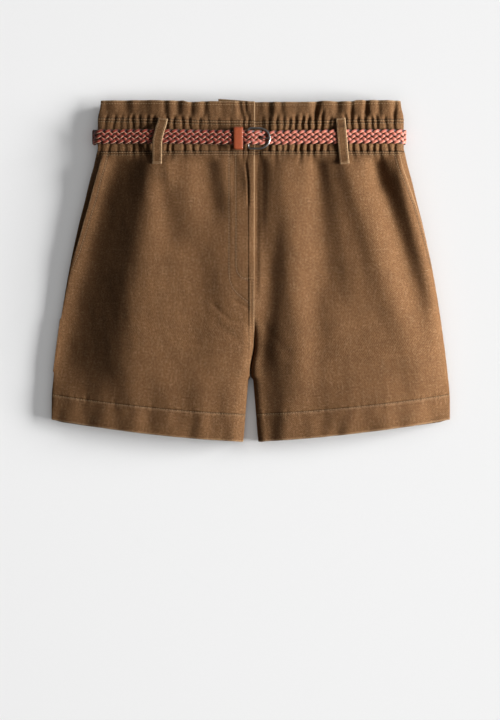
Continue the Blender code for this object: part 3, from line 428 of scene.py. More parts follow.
def ripple(a, b, wave, seed, count=7):
    """Soft irregular waves from -1 to 1: a mean of sines of length about wave, each with
    its own direction and start."""
    rng = np.random.default_rng(seed)
    angle, start = rng.uniform(0, np.pi, count), rng.uniform(0, 2 * np.pi, count)
    length = wave * rng.uniform(0.7, 1.5, count)
    total = np.zeros(np.broadcast(a, b).shape)
    for t, s, w in zip(angle, start, length):
        total = total + np.sin((a * np.cos(t) + b * np.sin(t)) * 2 * np.pi / w + s)
    return total / np.sqrt(count)


def off_line(x, down, line):
    """Distance from each place to a line of straight pieces, the nearest piece counting."""
    nearest = np.full(np.broadcast(x, down).shape, 1e9)
    for (x0, d0), (x1, d1) in zip(line[:-1], line[1:]):
        ux, ud = x1 - x0, d1 - d0
        t = np.clip(((x - x0) * ux + (down - d0) * ud) / (ux * ux + ud * ud), 0, 1)
        nearest = np.minimum(nearest, np.hypot(x - x0 - t * ux, down - d0 - t * ud))
    return nearest


# ---------------------------------------------------------------- shape of the panels

def quarter(c):
    """Height share of a quarter turn: the sine, 0 at the seam and 1 from c = 1 on."""
    return np.sin(np.minimum(c, 1.0) * np.pi / 2)


def across(c, span, outer, inner, share=0.0):
    """Distance in from the silhouette: c 0 to 1 is a quarter turn of width outer, 1 to 2
    straight, 2 to 3 the inner width, straight or a quarter turn by share."""
    side = outer * (1 - np.cos(np.minimum(c, 1.0) * np.pi / 2))
    flat = outer + np.clip(c - 1, 0, 1) * (span - outer - inner)
    turned = 1 - np.cos((3 - c) * np.pi / 2)
    leg = span - inner * ((3 - c) * (1 - share) + turned * share)
    return np.where(c <= 1, side, np.where(c <= 2, flat, leg))


def folds(x, down):
    """Sum of the folds: each a bell across its line, its width and strength eased along
    the line, plus the waves of the hem, a sine along x."""
    total = np.zeros(np.broadcast(x, down).shape)
    for x0, down0, x1, down1, width0, width1, height, lean in FOLDS:
        length = np.hypot(x1 - x0, down1 - down0)
        along = ((x - x0) * (x1 - x0) + (down - down0) * (down1 - down0)) / length
        aside = ((x - x0) * (down1 - down0) - (down - down0) * (x1 - x0)) / length
        width = width0 + (width1 - width0) * np.clip(along / length, 0, 1)
        width = width * (1 + lean * np.tanh(aside / width))
        fade = min(FOLD_FADE, length / 4)
        strength = ease(along, -fade, fade) * (1 - ease(along, length - fade, length + fade))
        total = total + height * strength * bell(aside, width)
    sway = HEM_WAVE_SWAY * np.sin(x / HEM_WAVE_SWAY_REACH)
    waves = HEM_WAVE_DEPTH * np.sin(x / HALF_HEM * np.pi * HEM_WAVES + sway)
    return total + waves * ease(down, 300, 390)


def crown(x, down):
    return 1 - CROWN * (x / ring(down, "half_width")) ** 2


def front_height(x, down):
    """Height of the fronts before they sink: the crown, and the folds below the waistband."""
    return ring(down, "top") * crown(x, down) + folds(x, down) * ease(down, WAIST_SEAM, FOLDS_FULL)


def leg_share(down):
    return ease(down, *LEG_TURN)


def fly_edge(down):
    return FLY_EDGE * (1 - ease(down, *FLY_FADE))


def leg_inner(down):
    return smooth(down, LEG_GAP[:, 0], LEG_GAP[:, 1])


def hem_down(share):
    """Down to the hem's edge: share 0 at the side seam, 1 at the inseam, a power between."""
    return HEM_AT_SIDE + (LENGTH - HEM_AT_SIDE) * (1 - (1 - np.clip(share, 0, 1)) ** HEM_CURVE)


def hem_foot(c):
    span = ring(LENGTH, "half_width") - leg_inner(LENGTH)
    return hem_down(across(c, span, ring(LENGTH, "front_round"), HEM_ROUND, 1.0) / span)


def panel_down(c, row):
    """Down for a column and row: rows are spread evenly from the seam to the slanted hem."""
    return PANEL_TOP + (hem_foot(c) - PANEL_TOP) * (row - PANEL_TOP) / (LENGTH - PANEL_TOP)


def panel_wall(c, row):
    stitch = HEM_LINE - 1.0
    return WALL + (HEM_WALL - WALL) * ease(row, stitch, stitch + 1.5)


def pocket_inset(down, hand):
    return smooth(down, POCKETS[hand][:, 0], POCKETS[hand][:, 1])


def casing_top(x):
    return smooth(x, CASING[:, 0], CASING[:, 1])


def crease(u, wide):
    """A narrow crease's depth: near 1 at its bottom, rising like the square root of the
    distance from it, and eased to 0 on both sides."""
    rising = 1.25 - 1.25 * np.sqrt(np.hypot(u, 0.4) / wide)
    return rising.clip(0, 1) * (1 - ease(np.abs(u), 0.45 * wide, wide))


class Gathers:
    """Creases of the gathered elastic: x at the upper and the lower stitching, depth, and
    how far each runs on above and below."""

    def __init__(self, table):
        self.table = np.asarray(table)

    def depth_at(self, x, down):
        """Sum of the creases, each deepest at the rows of stitching."""
        total = np.zeros(np.broadcast(x, down).shape)
        top = casing_top(x)
        held = 0.86 + 0.22 * (bell(down - top, 4.0) + bell(down - WAIST_SEAM, 4.0))
        for at_top, at_foot, depth, above, _ in self.table:
            share = np.clip((down - 27.0) / 31.0, -0.6, 1.3)
            line = at_top + (at_foot - at_top) * share + 0.35 * np.sin(down * 0.45 + at_top)
            rising = ease(down, top - above - 2.0, top - above * 0.25)
            wide = CREASE_WIDE * (1 + 0.5 * np.clip(top - down, 0, 20) / 20)
            total = total + depth * rising * crease(x - line, wide)
        return total * held

    def fan_at(self, x, down):
        """The same creases running out below the waist seam, each widening as it fades."""
        total = np.zeros(np.broadcast(x, down).shape)
        past = down - WAIST_SEAM
        for at_top, at_foot, depth, _, reach in self.table:
            line = at_foot + (at_foot - at_top) * np.clip(past, 0, 26) / 26
            line = line + 0.4 * np.sin(down * 0.3 + at_foot)
            wide = CREASE_WIDE * (1 + np.clip(past, 0, 40) / 16)
            total = total + depth * (1 - ease(past, -3.0, reach)) * crease(x - line, wide)
        return total


def back_creases():
    """Creases of the back, spread evenly and then moved, turned and scaled a little."""
    rng = np.random.default_rng(55)
    pitch = 2 * GATHER_TO / BACK_GATHERS
    x = -GATHER_TO + (np.arange(BACK_GATHERS) + 0.5 + rng.uniform(-0.2, 0.2, BACK_GATHERS)) * pitch
    return np.stack([
        x, x + rng.uniform(-2, 2, BACK_GATHERS), rng.uniform(0.9, 1.7, BACK_GATHERS),
        rng.uniform(5, 14, BACK_GATHERS), rng.uniform(10, 28, BACK_GATHERS)], -1)


FRONT_GATHER = Gathers(CREASES)
BACK_GATHER = Gathers(back_creases())


def sink(x):
    """How far the waist has sunk towards the left of the picture."""
    return WAIST_SINK * (1 - ease(x, *WAIST_SINK_X))


def settle(x, down, hand):
    """How far the front has sunk towards its side seam and its inseam: a broad ease from
    each of them, deeper and wider towards the hem."""
    inset = ring(down, "half_width") - hand * x
    low, foot = ease(down, 66.0, 120.0), ease(down, 120.0, 330.0)
    high, more = SIDE_SINK[hand]
    drop = (high + more * foot) * low
    side = drop * (1 - ease(inset, SIDE_SINK_FROM, SIDE_SINK_TO + SIDE_SINK_WIDENS * foot))
    inner = INNER_SINK * ease(down, 215.0, 330.0) * (1 - ease(hand * x, *INNER_SINK_X))
    waist = sink(x) * (1 - ease(down, WAIST_SEAM, FOLDS_FULL)) if hand < 0 else 0.0
    return side + inner + waist


def front_relief(x, down, hand):
    """Low relief of a front: the gathers' ends, the fly's strip and stitching, creases by
    the crotch, the pocket's stitching and soft waves."""
    relief = -0.85 * FRONT_GATHER.fan_at(x, down)
    relief = relief + 0.32 * ripple(x, down * 0.55, 34.0, 3) * ease(down, 62, 90)
    relief = relief + 0.06 * ripple(x, down * 0.8, 9.0, 4) * ease(down, 62, 90)
    relief = relief - 0.32 * bell(down - WAIST_SEAM - ROW_STEP, STITCH_GROOVE)
    if hand < 0:
        strip = ease(x, -3.0, -1.8) * (1 - ease(x, 5.0, 5.8))
        relief = relief + 0.55 * strip * ease(down, 74, 104)
        for line, deep in ((FLY_OUTER, 0.32), (FLY_INNER, 0.28)):
            relief = relief - deep * bell(off_line(x, down, line), STITCH_GROOVE)
    for line, deep, wide in SMALL_CREASES:
        relief = relief - deep * bell(off_line(x, down, line), wide)
    inset = ring(down, "half_width") - hand * x
    stitched = off_line(inset, down, POCKET_STITCH[hand])
    return relief - 0.28 * bell(stitched, STITCH_GROOVE) * (1 - ease(down, POCKET_FOOT, POCKET_FOOT + 6))


def hem_relief(row, x):
    """The turned-up hem: a groove at its stitching, with short puckers across it."""
    off = row - HEM_LINE
    groove = -0.42 * bell(off, STITCH_GROOVE)
    pucker = 0.20 * ripple(x, 0 * x, 5.2, 9) * bell(off + 0.5, 5.0)
    below = 0.30 * ripple(x, row * 0.35, 17.0, 12) * ease(off, 0.0, 6.0)
    lip = 0.22 * ease(off, 0.0, 1.6)
    return groove + pucker + below + lip


def right_edge(down):
    return fly_edge(down) - GAP / 2


def left_edge(down):
    under = 1 - ease(down, FLY_FOOT - 8, FLY_FOOT + 3)
    return fly_edge(down) + GAP / 2 - under * FLY_UNDER


def no_drop(down):
    return 0.0 * down


def left_drop(down):
    return (LAP + FLY_SLACK) * (1 - ease(down, FLY_FOOT - 5, FLY_FOOT + 42))


FRONT_EDGE = {-1: right_edge, 1: left_edge}
FRONT_DROP = {-1: no_drop, 1: left_drop}


def pocket_start(down, hand):
    """Share of the side's quarter turn that the pocket leaves open."""
    return np.arccos(1 - pocket_inset(down, hand) / ring(down, "front_round")) / (np.pi / 2)


def front_panel(c, row, hand):
    """A front's outer face. It rises in a quarter turn from the side seam or the pocket's
    edge, crosses the crowned and folded front, and turns down at the inside of the leg."""
    down = panel_down(c, row)
    start = pocket_start(down, hand)
    turned = np.where(c <= 1, start + (1 - start) * c, c)
    edge = FRONT_EDGE[hand](down)
    inner_x = np.where(down < CROTCH, edge, hand * np.maximum(leg_inner(down), GAP / 2))
    width = ring(down, "half_width")
    span = width - hand * inner_x
    inset = across(turned, span, ring(down, "front_round"), INNER_ROUND[hand], leg_share(down))
    x = hand * (width - inset)
    side, inner = quarter(turned), quarter(3 - turned)
    seam = ring(down, "seam") + (INSEAM_HEIGHT - ring(down, "seam")) * (1 - inner)
    detail = front_relief(x, down, hand) + hem_relief(row, x)
    full = front_height(x, down) + detail - settle(x, down, hand)
    z = seam + (full - seam) * side * (1 - leg_share(down) * (1 - inner))
    z = z - FRONT_DROP[hand](down) * (1 - ease(x - FLY_EDGE, 1.5, 7.5))
    z = z + np.where(side < 1, GAP / 2, 0.0) * (1 - side) + GAP / 2 * (1 - inner)
    return np.stack([x, CENTRE - down, z], -1)


def front_place(x, down, hand):
    """Column and row of a place on a front: the inverse of front_panel."""
    x, down = np.asarray(x, float), np.asarray(down, float)
    width, turn = ring(down, "half_width"), ring(down, "front_round")
    edge = FRONT_EDGE[hand](down)
    inner_x = np.where(down < CROTCH, edge, hand * np.maximum(leg_inner(down), GAP / 2))
    span, s = width - hand * inner_x, width - hand * x
    start = pocket_start(down, hand)
    side = (np.arccos(np.clip(1 - s / turn, -1, 1)) / (np.pi / 2) - start) / (1 - start)
    inner = INNER_ROUND[hand]
    t, share = np.clip((span - s) / inner, 0, 1), leg_share(down)
    q = np.ones_like(t)
    for _ in range(14):
        f = q * (1 - share) + (1 - np.cos(q * np.pi / 2)) * share - t
        q = np.clip(q - f / (1 - share + np.pi / 2 * np.sin(q * np.pi / 2) * share + 1e-6), 0, 1)
    c = np.where(s < turn, side, np.where(t < 1, 3 - q, 1 + (s - turn) / (span - turn - inner)))
    row = PANEL_TOP + (down - PANEL_TOP) * (LENGTH - PANEL_TOP) / (hem_foot(c) - PANEL_TOP)
    return c, row


def back_panel(c, row, hand):
    """A back's outer face: flat on the surface, with quarter turns up to the seams."""
    down = panel_down(c, row)
    width = ring(down, "half_width")
    centre_x = hand * np.maximum(leg_inner(down), GAP / 2)
    lift = ease(down, 286.0, CROTCH - 2)
    inset = across(c, width - abs(centre_x), ring(down, "back_round"), INNER_BACK_ROUND, lift)
    x = hand * (width - inset)
    seam, bottom = ring(down, "seam"), ring(down, "bottom")
    detail = 0.6 * BACK_GATHER.fan_at(x, down)
    detail = detail + 0.35 * (1 + ripple(x, down * 0.6, 42.0, 15)) * ease(down, 80, 120) * 0.5
    groove = 0.42 * bell(row - HEM_LINE, STITCH_GROOVE)
    detail = detail + groove + 0.3 * bell(off_line(np.abs(x), down, BACK_ROW), STITCH_GROOVE)
    side = seam - (seam - bottom - detail) * quarter(c) - GAP / 2 * (1 - quarter(c))
    inner = (INSEAM_HEIGHT - GAP / 2) * lift * (1 - quarter(3 - c))
    return np.stack([x, CENTRE - down, side + inner], -1)


def pocket_facing(c, down, hand):
    """The strip between the pocket's edge and the side seam. It follows the front's turn,
    and sinks to lie under the front before it reaches the pocket's edge."""
    width, seam = ring(down, "half_width"), ring(down, "seam")
    turn_width = ring(down, "front_round")
    reach = np.minimum(pocket_inset(down, hand) + POCKET_UNDER, turn_width)
    edge = np.arccos(1 - np.maximum(pocket_inset(down, hand), 0.4) / turn_width)
    turn = np.arccos(1 - reach / turn_width) * c
    x = hand * (width - turn_width * (1 - np.cos(turn)))
    rise = front_height(x, down) - seam - settle(x, down, hand)
    inward = np.stack([rise * np.cos(turn), turn_width * np.sin(turn)])
    inward = inward / np.linalg.norm(inward, axis=0) * (LAP + FACING_SLACK) * ease(turn / edge, 0.0, 0.75)
    z = seam + rise * np.sin(turn) + GAP / 2 - inward[1]
    return np.stack([x - hand * inward[0], CENTRE - down, z], -1)


# ---------------------------------------------------------------- shape of the waistband

def frill(x, down, table, seed):
    """Depth of the frill's soft folds: bells in x that fade out at the stitching."""
    depth = np.zeros(np.broadcast(x, down).shape)
    for at, width, deep in table:
        slant = 0.10 * np.sin(at * 1.7) * (24.0 - down)
        depth = depth + deep * bell(x - at - slant, width)
    depth = depth + 0.35 * (1 + ripple(x, down * 0.3, 12.0, seed))
    return depth * ease(casing_top(x) - down, -1.0, 11.0)


def pinch(x, down):
    """The rows of stitching sink into the cloth."""
    off = down - casing_top(x)
    casing = bell(off, STITCH_GROOVE) + bell(off - ROW_STEP, STITCH_GROOVE)
    return STITCH_SINK * (casing + bell(down - WAIST_SEAM, 1.1))


def row_groove_shade(x, down):
    """Painted shade: 1 along the waistband's rows of stitching, where the cloth is creased and dark."""
    off = down - casing_top(x)
    return bell(off + 0.2, 0.75) + bell(off - ROW_STEP + 0.2, 0.75) + bell(down - WAIST_SEAM, 0.9)


def top_edge(x, row, table):
    """Down for a row of the frill, whose top edge follows the table."""
    return row + smooth(x, table[:, 0], table[:, 1]) * (1 - ease(row, 0.0, 18.0))


def band_front(c, row, hand):
    """Half of the front waistband: a quarter turn at the side, then across to the fly,
    with its gathers, frill and stitching as depths below the crowned front. The left half
    sinks to lie under the right one."""
    inner_x = FLY_EDGE if hand < 0 else FLY_EDGE - UNDERLAP
    width = ring(row, "half_width")
    x = hand * (width - across(c, width - hand * inner_x, ring(row, "front_round"), 0.0))
    down = top_edge(x, row, FRILL_TOP[hand])
    seam, full = ring(down, "seam"), ring(down, "top") * crown(x, down)
    full = full - (sink(x) if hand < 0 else 0.0)
    depth = FRONT_GATHER.depth_at(x, down) + frill(x, down, FRONT_FRILL, 17 + hand) + pinch(x, down)
    depth = depth + 0.25 * bell(row - FRILL_STITCH, 0.8)
    if hand > 0:
        under = 1 - ease(x, FLY_EDGE + 1.5, FLY_EDGE + 24.0)
        depth = depth * (1 - under) + (LAP + GATHER_DEPTH + STITCH_SINK) * under
    z = seam + (full - depth - seam) * quarter(c) + GAP / 2 * (1 - quarter(c))
    return np.stack([x, CENTRE - down, z], -1)


def band_back(c, row):
    """The back waistband, c from -2 at the left of the picture to 2 at its right."""
    hand = np.where(c < 0, -1.0, 1.0)
    turn = 2 - np.abs(c)
    width = ring(row, "half_width")
    x = hand * (width - across(turn, width, ring(row, "back_round"), 0.0))
    down = row + (5.4 + 0.6 * ripple(x, 0 * x, 70.0, 41)) * (1 - ease(row, 0.0, 22.0))
    seam, bottom = ring(down, "seam"), ring(down, "bottom")
    depth = BACK_GATHER.depth_at(x, down) + frill(x, down, BACK_FRILL, 19) + pinch(x, down)
    z = seam - (seam - bottom - depth) * quarter(turn) - GAP / 2 * (1 - quarter(turn))
    return np.stack([x, CENTRE - down, z], -1)


# ---------------------------------------------------------------- meshes

def piece(name, points, quads, finish, stands_for=(), uv=None, masks=None):
    """A mesh object from points in millimetres and four-cornered faces, with its cloth
    coordinates in metres and its masks as attributes on the points."""
    mesh = bpy.data.meshes.new(name)
    quads = np.ascontiguousarray(quads, np.int32)
    mesh.vertices.add(len(points))
    mesh.vertices.foreach_set("co", (np.asarray(points) * MM).astype(np.float32).ravel())
    mesh.loops.add(quads.size)
    mesh.loops.foreach_set("vertex_index", quads.ravel())
    mesh.polygons.add(len(quads))
    mesh.polygons.foreach_set("loop_start", np.arange(0, quads.size, 4, dtype=np.int32))
    mesh.update(calc_edges=True)
    mesh.shade_smooth()
    if uv is not None:
        layer = mesh.uv_layers.new(name="cloth")
        layer.data.foreach_set("uv", np.asarray(uv, np.float32)[quads.ravel()].ravel())
    for mask, values in (masks or {}).items():
        held = mesh.attributes.new(mask, "FLOAT", "POINT")
        held.data.foreach_set("value", np.asarray(values, np.float32).ravel())
    mesh.validate()
    mesh.materials.append(finish)
    obj = bpy.data.objects.new(name, mesh)
    bpy.context.scene.collection.objects.link(obj)
    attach(obj, "root")
    if stands_for:
        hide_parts(*stands_for)
    return obj


def unit(vectors):
    return vectors / np.maximum(np.linalg.norm(vectors, axis=-1, keepdims=True), 1e-9)


def walked(points):
    """Distance walked along a line to each of its points."""
    return np.concatenate([[0.0], np.cumsum(np.linalg.norm(np.diff(points, axis=0), axis=-1))])


def normals(shape, c, r):
    """Unit cross product of the shape's steps along its columns and rows."""
    along_c = shape(c + 1e-4, r) - shape(c - 1e-4, r)
    along_r = shape(c, r + 1e-3) - shape(c, r - 1e-3)
    return unit(np.cross(along_c, along_r))


def wall_piece(name, shape, columns, rows, wall, side, lips=(0.1, 0.1, 0.1, 0.1), masks=None, origin=-1):
    """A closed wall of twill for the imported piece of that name. Its outer face is
    shape(column, row), its inner face lies wall(column, row) behind it, and half-round
    rims of three rows join them. side is 1 where the cross product of columns and rows
    points out. lips are how far the rims stand out at the first and last column and the
    first and last row. origin is the column from which the cloth's width is counted."""
    c, r = np.meshgrid(columns, rows, indexing="ij")
    outer = shape(c, r)
    out = side * normals(shape, c, r)
    inner = outer - out * wall(c, r)[..., None]
    na, nb = c.shape
    index = np.arange(na * nb).reshape(na, nb)
    a, b = index[:-1, :-1].ravel(), index[1:, :-1].ravel()
    d, e = index[1:, 1:].ravel(), index[:-1, 1:].ravel()
    face = np.stack([a, b, d, e], -1)
    size = na * nb
    loop = np.concatenate([index[:-1, 0], index[-1, :-1], index[:0:-1, -1], index[0, :0:-1]])
    li, lj = loop // nb, loop % nb
    along_c, along_r = unit(np.gradient(outer, axis=0)), unit(np.gradient(outer, axis=1))
    tests = ((li == 0, -along_c, lips[0]), (li == na - 1, along_c, lips[1]),
             (lj == 0, -along_r, lips[2]), (lj == nb - 1, along_r, lips[3]))
    away = np.zeros((len(loop), 3))
    reach = np.full(len(loop), 9.0)
    for test, vector, lip in tests:
        away[test] += vector.reshape(-1, 3)[loop[test]]
        reach[test] = np.minimum(reach[test], lip)
    away = unit(away) * reach[:, None]
    top, foot = outer.reshape(-1, 3)[loop], inner.reshape(-1, 3)[loop]
    middle, half = (top + foot) / 2, (top - foot) / 2
    angle = np.radians((50.0, 90.0, 130.0))
    rims = [middle + half * np.cos(t) + away * np.sin(t) for t in angle]
    points = np.concatenate([outer.reshape(-1, 3), inner.reshape(-1, 3)] + rims)
    count = len(loop)
    rings = [loop] + [2 * size + k * count + np.arange(count) for k in range(3)] + [loop + size]
    quads = [face, face[:, ::-1] + size]
    for first, second in zip(rings[:-1], rings[1:]):
        quads.append(np.stack([np.roll(first, -1), first, second, np.roll(second, -1)], -1))
    quads = np.concatenate(quads)
    if side < 0:
        quads = quads[:, ::-1]
    step = np.linalg.norm(np.diff(outer, axis=0), axis=-1)
    walk = np.concatenate([np.zeros((1, nb)), np.cumsum(step, axis=0)])
    walk = walk - walk[origin]
    drop = np.linalg.norm(np.diff(outer, axis=1), axis=-1).mean(axis=0)
    fall = np.broadcast_to(np.concatenate([[0.0], np.cumsum(drop)]), walk.shape)
    uv = np.stack([walk, -fall], -1).reshape(-1, 2) * MM
    uv = np.concatenate([uv, uv] + [uv[loop]] * 3)
    values = {}
    for mask, rule in (masks or {}).items():
        grid = np.broadcast_to(rule(c, r), c.shape).ravel()
        values[mask] = np.concatenate([grid, grid] + [grid[loop]] * 3)
    obj = piece("shorts_" + name, points, quads, twill_finish(), (name,), uv, values)
    faces = np.cross(np.diff(outer, axis=0)[:, :-1], np.diff(outer, axis=1)[:-1])
    obj["outer_area"] = float(np.linalg.norm(faces, axis=-1).sum()) * MM * MM
    return obj


def tube_faces(count, size, closed):
    """Faces of a tube of count rings with size points each. An open tube has two caps."""
    index = np.arange(count * size).reshape(count, size)
    turn = np.roll(index, -1, axis=1)
    if closed:
        ahead, ahead_turn = np.roll(index, -1, axis=0), np.roll(turn, -1, axis=0)
        return np.stack([index, turn, ahead_turn, ahead], -1).reshape(-1, 4)
    sides = np.stack([index[:-1], turn[:-1], turn[1:], index[1:]], -1).reshape(-1, 4)
    k = np.arange(size // 2 - 1)
    cap = np.stack([k, size - 1 - k, size - 2 - k, k + 1], -1)
    return np.concatenate([sides, cap, cap[:, ::-1] + (count - 1) * size])


def tube(name, path, across_dir, up_dir, profile, closed, finish, stands_for=(), masks=None):
    """A profile carried along a path. profile[k] is (across, up) for each point of the
    path, or one for all of it, and across_dir and up_dir are the directions of the two."""
    count = len(path)
    profile = np.broadcast_to(profile, (count,) + np.shape(profile)[-2:])
    points = path[:, None] + across_dir[:, None] * profile[..., :1] + up_dir[:, None] * profile[..., 1:]
    points = points.reshape(-1, 3)
    quads = outward(points, tube_faces(count, profile.shape[1], closed))
    along = walked(path)
    u = profile[..., 0] * MM
    uv = np.stack([u, np.broadcast_to(along[:, None] * MM, u.shape)], -1).reshape(-1, 2)
    values = {}
    for mask, grid in (masks or {}).items():
        values[mask] = np.broadcast_to(grid, profile.shape[:2]).ravel()
    return piece(name, points, quads, finish, stands_for, uv, values)


def turn_steps(sides):
    """Angles that go round once in equal steps."""
    return np.arange(sides) / sides * 2 * np.pi


def strap_section(count, power, thick):
    """Section of a strap with count points on its upper face: across from -1 to 1, and up,
    where the faces round off towards the edges by the power."""
    s = np.linspace(-1, 1, count)
    edge = np.clip(1 - np.abs(s) ** power, 0, 1) ** 0.5
    return np.concatenate([s, s[1:-1][::-1]]), np.concatenate([edge, -edge[1:-1][::-1]]) * thick / 2


def outward(points, quads):
    """The same faces, turned over if the solid's volume comes out negative."""
    a, b, c, d = (points[quads[:, k]] for k in range(4))
    volume = np.einsum("ij,ij->i", a, np.cross(b, c)).sum()
    volume = volume + np.einsum("ij,ij->i", a, np.cross(c, d)).sum()
    return quads if volume > 0 else quads[:, ::-1]


# ---------------------------------------------------------------- materials

def wire(tree, kind, sockets=None, **settings):
    """A node with its settings, and each socket given a value or linked to an output."""
    made = tree.nodes.new(kind)
    for key, value in settings.items():
        setattr(made, key, value)
    for key, value in (sockets or {}).items():
        if isinstance(value, bpy.types.NodeSocket):
            tree.links.new(value, made.inputs[key])
        else:
            made.inputs[key].default_value = value
    return made


def maths(tree, operation, first, second=0.0, clamp=False):
    made = wire(tree, "ShaderNodeMath", {0: first, 1: second}, operation=operation, use_clamp=clamp)
    return made.outputs[0]


def plus(tree, first, second, clamp=False):
    return maths(tree, "ADD", first, second, clamp)


def times(tree, first, second, clamp=False):
    return maths(tree, "MULTIPLY", first, second, clamp)


def blend(tree, share, first, second, mode="MIX"):
    made = wire(tree, "ShaderNodeMix", {0: share, 6: first, 7: second}, data_type="RGBA", blend_type=mode)
    return made.outputs[2]


def between(tree, value, low, high, start=0.0, end=1.0):
    made = wire(tree, "ShaderNodeMapRange", {0: value, 1: low, 2: high, 3: start, 4: end})
    return made.outputs[0]


def scaled(tree, vector, scale):
    return wire(tree, "ShaderNodeVectorMath", {0: vector, 3: scale}, operation="SCALE").outputs[0]


def mask_value(tree, name):
    return wire(tree, "ShaderNodeAttribute", attribute_name=name).outputs["Fac"]


def rgba(colour, share=1.0):
    return (colour[0] * share, colour[1] * share, colour[2] * share, 1.0)


def new_group(name, inputs, outputs):
    """A shader node group with its sockets, and its two ends."""
    group = bpy.data.node_groups.new(name, "ShaderNodeTree")
    for label, kind, value in inputs:
        socket = group.interface.new_socket(label, in_out="INPUT", socket_type="NodeSocket" + kind)
        if value is not None:
            socket.default_value = value
    for label, kind in outputs:
        group.interface.new_socket(label, in_out="OUTPUT", socket_type="NodeSocket" + kind)
    start = group.nodes.new("NodeGroupInput")
    end = group.nodes.new("NodeGroupOutput")
    return group, start.outputs, end.inputs


def twill_group():
    """Twill: diagonal ribs crossed by yarn floats, paler and darker yarns, slubs that run
    with the grain, soft mottling, a paler wear input that holds worn edges and a painted
    highlight, and painted shade along the rows of stitching. Cloth coordinates are in metres."""
    found = bpy.data.node_groups.get("twill weave")
    if found:
        return found
    group, given, out = new_group(
        "twill weave",
        (("Cloth", "Vector", None), ("Wale", "Float", 0.001), ("Colour", "Color", (0.2, 0.1, 0.05, 1.0)),
         ("Pale", "Color", (0.4, 0.25, 0.13, 1.0)), ("Wear", "Float", 0.0), ("Seam", "Float", 0.0)),
        (("Colour", "Color"), ("Roughness", "Float"), ("Height", "Float")),
    )
    place = scaled(group, given["Cloth"], 1 / MM)
    split = wire(group, "ShaderNodeSeparateXYZ", {0: place}).outputs
    wale = times(group, given["Wale"], 1 / MM)

    def noise(vector, scale, detail=2.0, roughness=0.5):
        sockets = {"Vector": vector, "Scale": scale, "Detail": detail, "Roughness": roughness}
        return wire(group, "ShaderNodeTexNoise", sockets).outputs[0]

    def stretched(across_scale, along_scale):
        sockets = {0: times(group, split[0], across_scale), 1: times(group, split[1], along_scale)}
        return wire(group, "ShaderNodeCombineXYZ", sockets).outputs[0]

    wobble = times(group, noise(place, 0.35), 1.6)
    diagonal = plus(group, times(group, split[0], -0.79), times(group, split[1], 0.61))
    turns = plus(group, maths(group, "DIVIDE", diagonal, wale), wobble)
    rib = maths(group, "SINE", times(group, turns, FULL_TURN))
    rib = plus(group, times(group, rib, 0.5), 0.5)
    cross = plus(group, times(group, split[0], 0.61), times(group, split[1], 0.79))
    floats = maths(group, "SINE", times(group, maths(group, "DIVIDE", cross, wale), 11.3))
    floats = plus(group, times(group, floats, 0.5), 0.5)
    yarn = times(group, rib, plus(group, times(group, floats, 0.35), 0.65))
    fleck = noise(place, 0.50, 4.0, 0.72)
    slub = noise(stretched(0.42, 0.06), 1.0, 3.0, 0.65)
    weft = noise(stretched(0.06, 0.40), 1.0, 3.0, 0.65)
    mottle = noise(place, 0.055, 3.0)
    pale = between(group, fleck, 0.42, 0.72, -0.08, 0.25)
    pale = plus(group, pale, between(group, slub, 0.45, 0.72, -0.04, 0.13))
    pale = plus(group, pale, between(group, weft, 0.45, 0.72, -0.02, 0.07))
    # the wear mask: paler worn edges, and a painted highlight along the fly's edge
    pale = plus(group, pale, times(group, given["Wear"], 0.62), clamp=True)
    colour = blend(group, pale, given["Colour"], given["Pale"])
    shade = between(group, yarn, 0.0, 1.0, 0.74, 1.12)
    shade = times(group, shade, between(group, mottle, 0.3, 0.7, 0.93, 1.07))
    shade = times(group, shade, between(group, fleck, 0.30, 0.52, 0.62, 1.0))
    # painted shade: the cloth darkens along the rows of stitching
    shade = times(group, shade, between(group, given["Seam"], 0.0, 1.0, 1.0, 0.42))
    tint = wire(group, "ShaderNodeCombineColor", {0: shade, 1: shade, 2: shade}).outputs[0]
    wired = group.links.new
    wired(blend(group, 1.0, colour, tint, "MULTIPLY"), out["Colour"])
    wired(between(group, yarn, 0.0, 1.0, 0.96, 0.80), out["Roughness"])
    wired(plus(group, times(group, yarn, 0.8), times(group, fleck, 0.5)), out["Height"])
    return group


def grain_group():
    """Leather grain: fine pores, larger creases and soft mottling, from Object
    coordinates in metres."""
    found = bpy.data.node_groups.get("leather grain")
    if found:
        return found
    group, given, out = new_group(
        "leather grain", (("Place", "Vector", None), ("Scale", "Float", 1.0)),
        (("Mottle", "Float"), ("Roughness", "Float"), ("Height", "Float")),
    )
    place = scaled(group, scaled(group, given["Place"], 1 / MM), given["Scale"])
    cells = wire(group, "ShaderNodeTexVoronoi", {"Vector": place, "Scale": 1.7}, feature="DISTANCE_TO_EDGE")
    fine = wire(group, "ShaderNodeTexNoise", {"Vector": place, "Scale": 2.2, "Detail": 4.0}).outputs[0]
    broad = wire(group, "ShaderNodeTexNoise", {"Vector": place, "Scale": 0.22, "Detail": 2.0}).outputs[0]
    pores = between(group, cells.outputs[0], 0.0, 0.18)
    height = plus(group, times(group, pores, 0.6), times(group, fine, 0.5))
    wired = group.links.new
    mixed = plus(group, times(group, broad, 0.7), times(group, fine, 0.3))
    wired(between(group, mixed, 0.35, 0.65), out["Mottle"])
    wired(between(group, fine, 0.3, 0.7, 0.40, 0.58), out["Roughness"])
    wired(height, out["Height"])
    return group


def new_finish(name):
    """A material with only its shader and output, and the shader."""
    finish = bpy.data.materials.new(name)
    finish.use_nodes = True
    return finish, finish.node_tree, finish.node_tree.nodes["Principled BSDF"]


def bumped(tree, shader, height, distance, strength):
    bump = wire(tree, "ShaderNodeBump", {"Height": height, "Distance": distance, "Strength": strength})
    tree.links.new(bump.outputs[0], shader.inputs["Normal"])


